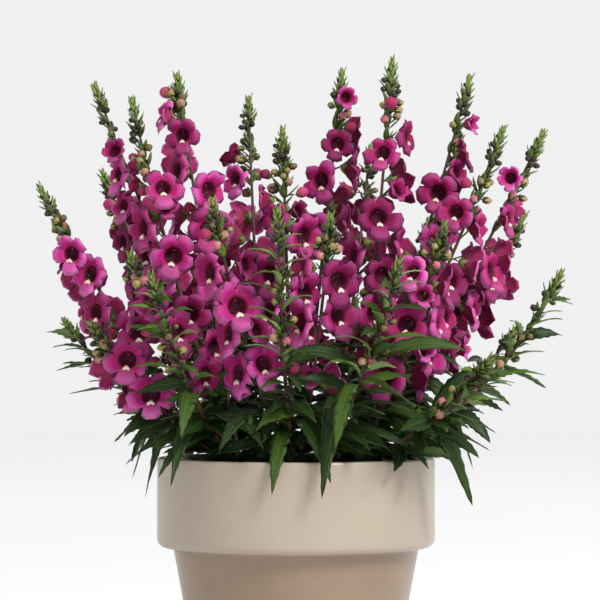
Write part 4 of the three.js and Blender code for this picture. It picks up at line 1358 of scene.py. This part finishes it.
def pot_profile():
    """The pot's wall from the middle of its underside, up the outside, over the rim and down to its floor."""
    foot = POT_HEIGHT - RIM_BAND
    taper = math.degrees(math.atan2(foot, BODY_TOP_RADIUS - BASE_RADIUS))
    profile = [(0, 0), (BASE_RADIUS - UNDERSIDE_INSET, 0)]
    profile += arc((BASE_RADIUS - BASE_EDGE, BASE_EDGE), BASE_EDGE, -90, taper - 90, EDGE_STEPS)
    for share in BODY_ROWS:
        profile.append((BASE_RADIUS + (BODY_TOP_RADIUS - BASE_RADIUS) * share, foot * share))
    profile += [(BODY_TOP_RADIUS, foot), (BODY_TOP_RADIUS + BAND_INSET, foot)]
    profile += arc((RIM_RADIUS - RIM_ROUND, foot + RIM_ROUND), RIM_ROUND, -90, 0, BAND_STEPS)
    profile.append((RIM_RADIUS, foot + RIM_ROUND + BAND_MARGIN))
    profile.append((RIM_RADIUS, POT_HEIGHT - RIM_EDGE - BAND_MARGIN))
    profile += arc((RIM_RADIUS - RIM_EDGE, POT_HEIGHT - RIM_EDGE), RIM_EDGE, 0, 90, EDGE_STEPS)
    inner = RIM_RADIUS - RIM_WALL
    profile += arc((inner + RIM_EDGE, POT_HEIGHT - RIM_EDGE), RIM_EDGE, 90, 180, EDGE_STEPS)
    profile += [(inner - LIP_INSET, POT_HEIGHT - LIP_DEPTH), (FLOOR_RADIUS + COVE_WIDE, FLOOR + COVE_HIGH)]
    return profile + [(FLOOR_RADIUS - COVE_INSET, FLOOR), (0, FLOOR)]


def add_pot():
    bm = bmesh.new()
    verts = [bm.verts.new((radius * MM, 0, height * MM)) for radius, height in pot_profile()]
    edges = [bm.edges.new(pair) for pair in zip(verts, verts[1:])]
    bmesh.ops.spin(
        bm,
        geom=verts + edges,
        axis=(0, 0, 1),
        cent=(0, 0, 0),
        angle=2 * math.pi,
        steps=POT_SIDES,
        use_merge=True,
    )
    bmesh.ops.remove_doubles(bm, verts=bm.verts, dist=POT_SAME_PLACE)
    bmesh.ops.recalc_face_normals(bm, faces=bm.faces)
    for face in bm.faces:
        face.smooth = True
    mesh = bpy.data.meshes.new("glazed_pot")
    bm.to_mesh(mesh)
    bm.free()
    mesh.materials.append(pot_glaze())
    obj = put("glazed_pot", mesh)
    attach(obj, "root")
    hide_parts("pot")


SOIL_SIDES = 90
SOIL_ROWS = 34
SOIL_DIP = 0.8
# The lumps of the soil's top: how close together, the layer of the noise, and how high.
SOIL_LUMPS = [(0.09, 0, 1.6), (0.4, 5, 1.2)]
CRUMBS = 170
CRUMB_RADIUS = (0.7, 2.2)
CRUMB_MARGIN = 3
CRUMB_DIP = 0.3


def inner_radius(z):
    """The radius of the pot's inner wall at a height."""
    taper = (RIM_RADIUS - RIM_WALL - FLOOR_RADIUS) / (POT_HEIGHT - FLOOR)
    return FLOOR_RADIUS + taper * (z - FLOOR)


def add_soil():
    growth = Growth("potting_soil", [soil_crumb()])
    bottom = FLOOR + GAP
    outer = inner_radius(SOIL_TOP) - GAP

    def place(i, j):
        angle = 2 * math.pi * i / SOIL_SIDES
        if j == 0:
            return UP * bottom
        if j == 1:
            return (inner_radius(bottom) - GAP) * spoke(EAST, NORTH, angle) + UP * bottom
        point = outer * (SOIL_ROWS - j) / (SOIL_ROWS - 2) * spoke(EAST, NORTH, angle)
        x, y, _ = point
        lumps = [noise.noise((x * close, y * close, layer)) * high for close, layer, high in SOIL_LUMPS]
        return point + UP * (SOIL_TOP - SOIL_DIP + sum(lumps))

    growth.wrap(SOIL_SIDES, SOIL_ROWS, place, growth.finishes[0], 0)
    random = Draw(SEEDS["crumbs"])
    for _ in range(CRUMBS):
        radius = (outer - CRUMB_MARGIN) * math.sqrt(random.next())
        heart = radius * spoke(EAST, NORTH, random.between(0, 2 * math.pi))
        heart += UP * (SOIL_TOP - CRUMB_DIP + random.next())
        out = unit(vec(random.between(-1, 1), random.between(-1, 1), random.between(-1, 1)))
        add_ball(growth, heart, out, random.between(*CRUMB_RADIUS), growth.finishes[0], 0)
    growth.piece("root", "soil", slot="soil")


# Plants and racemes

EXTRA_BUDS = 9
EXTRA_BUDS_END = 0.95
HALF_OPEN = 9
HALF_OPEN_MARGIN = 0.08
HALF_OPEN_LIFT = (0, 0.4)
HALF_OPEN_SIZE = (0.6, 0.78)
HALF_OPEN_CLOSED = (0.3, 0.7)
FULLY_CLOSED_SHARE = 0.5
YOUNG_LEAVES = {"stretch": (0.4, 0.93), "count": 14, "longest": 36, "most_droop": 0.3}
# More leaves on the low part of each stem: where they start, the share of that part they reach up to,
# how many, the longest, the droop and the seed.
LOW_FILL = [
    (0.08, 1.0, 8, 48, LOW_DROOP, 77),
    (0.04, 0.5, 6, 46, 0.5, 53),
    (0.16, 1.0, 10, 34, 0.6, 67),
    (0.2, 1.0, 8, 26, 0.3, 83),
]


def dress(plan):
    """What the finer plants carry besides: more buds, leaves low down, and half-open flowers in the gaps."""
    for index, stem in enumerate(plan.stems):
        low_end = stem.blooms[0] if stem.blooms else 0.5
        first_bud = stem.blooms[1] + 0.01 if stem.blooms else 0.55
        stretch = (first_bud, EXTRA_BUDS_END)
        extra = place_buds(stem, index, plan.room, stretch, EXTRA_BUDS, SEEDS["extra_buds"])
        for bud in extra:
            bud.radius *= 1.25 - 0.3 * bud.share
        plan.buds += extra
        for start, share, count, longest, droop, seed in LOW_FILL:
            stretch = (start, share * low_end)
            placed = place_leaves(stem, index, plan.room, stretch, count, longest, droop, seed)
            plan.leaves += filter(is_inside, placed)
        if stem.blooms:
            plan.blooms += half_open(stem, index, plan.room)
        else:
            placed = place_leaves(stem, index, plan.room, **YOUNG_LEAVES, seed=SEEDS["young_leaves"], young=True)
            plan.leaves += filter(is_inside, placed)


def is_inside(leaf):
    """Whether a leaf's tip keeps within the part's own box."""
    tip = leaf.curve.point(1) * MM
    return all(low <= x <= high for low, x, high in zip(cad_box[0], tip, cad_box[1]))


def leaf_tone_and_painted_shade(leaf, share):
    """Painted shade makes the leaves darkest low down; the young leaves are brightest. The share is the leaf's
    own draw.
    """
    if leaf.is_young:
        return 0.7 + 0.3 * share
    height = leaf.curve.point(0)[2]
    return min(0.55 * share + 0.6 * max(height - POT_HEIGHT, 0) / POT_HEIGHT, 1)


def half_open(stem, index, room):
    """Small flowers in the gaps between the open ones: half of them half open, half fully closed."""
    random = Draw(SEEDS["half_open"] + index)

    def prepare(share, at):
        lift = random.between(*HALF_OPEN_LIFT)
        size = random.between(*HALF_OPEN_SIZE)
        return lambda angle: Bloom(stem, at, angle, (0, lift, 0, size))

    stretch = (stem.blooms[0], stem.blooms[1] + HALF_OPEN_MARGIN)
    found = place_up(stem.raceme, room, stretch, HALF_OPEN, random, prepare)
    for bloom in found:
        is_closed = random.next() < FULLY_CLOSED_SHARE
        bloom.closed = 1 if is_closed else random.between(*HALF_OPEN_CLOSED)
    return found


COLLAR_SIDES = 8
COLLAR_SUNK = 8
COLLAR_RADII = [0, COLLAR_RADIUS, 4.2, 3.2, 0]
BLOOM_BRACT_LENGTH = (8, 13)
# The width and the slant of the bract below each bloom.
BLOOM_BRACT = (3, 48)


def add_plants(plan):
    stem_finish = stem_skin()
    leaf_finish = leaf_skin()
    bract_finish = bract_skin()
    bud_finish = bud_skin()
    for number, collar in enumerate(COLLARS, start=1):
        node = f"plant_{number}"
        growth = Growth(f"{node}_growth", [stem_finish, leaf_finish, bract_finish, bud_finish])
        random = Draw(SEEDS["plants"] + number)
        low, middle, top = [collar + UP * height for height in (SOIL_TOP - COLLAR_SUNK, SOIL_TOP, COLLAR_TOP)]
        growth.tube(Arch(low, middle, top), COLLAR_RADII, COLLAR_SIDES, stem_finish, 0)
        for stem in plan.stems:
            if stem.node == node:
                add_stem(growth, stem, stem_finish, random.next())
                add_tuft(growth, stem, bract_finish, bud_finish)
                add_stem_bracts(growth, stem, bract_finish)
        for leaf in plan.leaves:
            if leaf.node == node:
                add_leaf(growth, leaf, leaf_finish, leaf_tone_and_painted_shade(leaf, random.next()))
        for bud in plan.buds:
            if bud.node == node:
                add_bud(growth, bud, stem_finish, bract_finish, bud_finish, random.next())
        for bloom in plan.blooms:
            if bloom.stem.node == node:
                length = random.between(*BLOOM_BRACT_LENGTH)
                add_bract(growth, bloom.stem, bloom.at, bloom.side, length, *BLOOM_BRACT, bract_finish, 0.3)
        growth.piece("root", node, slot="green")


def add_racemes(plan):
    finishes = [petal_skin(), closed_skin(), boss_skin(), calyx_skin(), stem_skin()]
    random = Draw(SEEDS["racemes"])
    for stem in plan.stems:
        if not stem.blooms:
            continue
        growth = Growth(f"{stem.raceme}_flowers", finishes)
        for bloom in plan.blooms:
            if bloom.node == stem.raceme:
                add_bloom(growth, bloom, *finishes, random.next())
        growth.piece("root", stem.raceme, slot="petals")


# Stage

CAMERA_HEIGHT = 0.2
CAMERA_DISTANCE = 1.45
CAMERA_SIDE = 0.0023
VIEW_HALF_WIDTH = 0.1733
AIM_HEIGHT = 0.2357
SENSOR = 36
FLOOR_SIZE = 6
FLOOR_NEAR = (0.8, 0.8, 0.8, 1)
FLOOR_FAR = (0.97, 0.97, 0.97, 1)
SKY = 0.875
KEY_PLACE = (1.0, -1.2, 1.5)
KEY_TARGET = (0, 0, 0.2)
KEY_SIZE = 0.7
KEY_POWER = 43


def aim(obj, place, target):
    """Puts a camera or a light in its place and turns it to its target."""
    obj.location = place
    obj.rotation_euler = (Vector(target) - obj.location).to_track_quat("-Z", "Y").to_euler()


def add_camera():
    camera = bpy.data.cameras.new("camera")
    camera.sensor_width = SENSOR
    camera.lens = SENSOR / 2 * CAMERA_DISTANCE / VIEW_HALF_WIDTH
    obj = put("camera", camera)
    aim(obj, (CAMERA_SIDE, -CAMERA_DISTANCE, CAMERA_HEIGHT), (CAMERA_SIDE, 0, AIM_HEIGHT))
    bpy.context.scene.camera = obj


def add_key_light():
    light = bpy.data.lights.new("key", "AREA")
    light.shape = "DISK"
    light.size = KEY_SIZE
    light.energy = KEY_POWER
    aim(put("key", light), KEY_PLACE, KEY_TARGET)


def floor_paint():
    """Pale grey round the pot and nearly white far off: painted light, paler where less light falls, so that the
    far floor meets the sky without a line.
    """
    finish = Finish("floor_paint", 0.8)
    far = finish.node("ShaderNodeVectorMath", "Value", {"operation": "LENGTH"}, Vector=finish.place())
    cloud = finish.times(finish.noise(0.6, 1.0), 0.3)
    share = finish.times(finish.math("ADD", far, cloud), 1 / FLOOR_SIZE)
    return finish.colour(finish.ramp(share, (0.05, FLOOR_NEAR), (0.4, FLOOR_FAR))).material


def add_stage():
    bm = bmesh.new()
    bmesh.ops.create_grid(bm, x_segments=1, y_segments=1, size=FLOOR_SIZE)
    mesh = bpy.data.meshes.new("floor")
    bm.to_mesh(mesh)
    bm.free()
    mesh.materials.append(floor_paint())
    floor = put("floor", mesh)
    world = bpy.data.worlds.new("studio")
    bpy.context.scene.world = world
    world.use_nodes = True
    background = world.node_tree.nodes["Background"]
    background.inputs["Color"].default_value = WHITE
    background.inputs["Strength"].default_value = SKY
    bpy.context.scene.view_settings.view_transform = "Standard"


plan = Plan()
dress(plan)
add_pot()
add_soil()
add_plants(plan)
add_racemes(plan)
add_stage()
add_key_light()
add_camera()
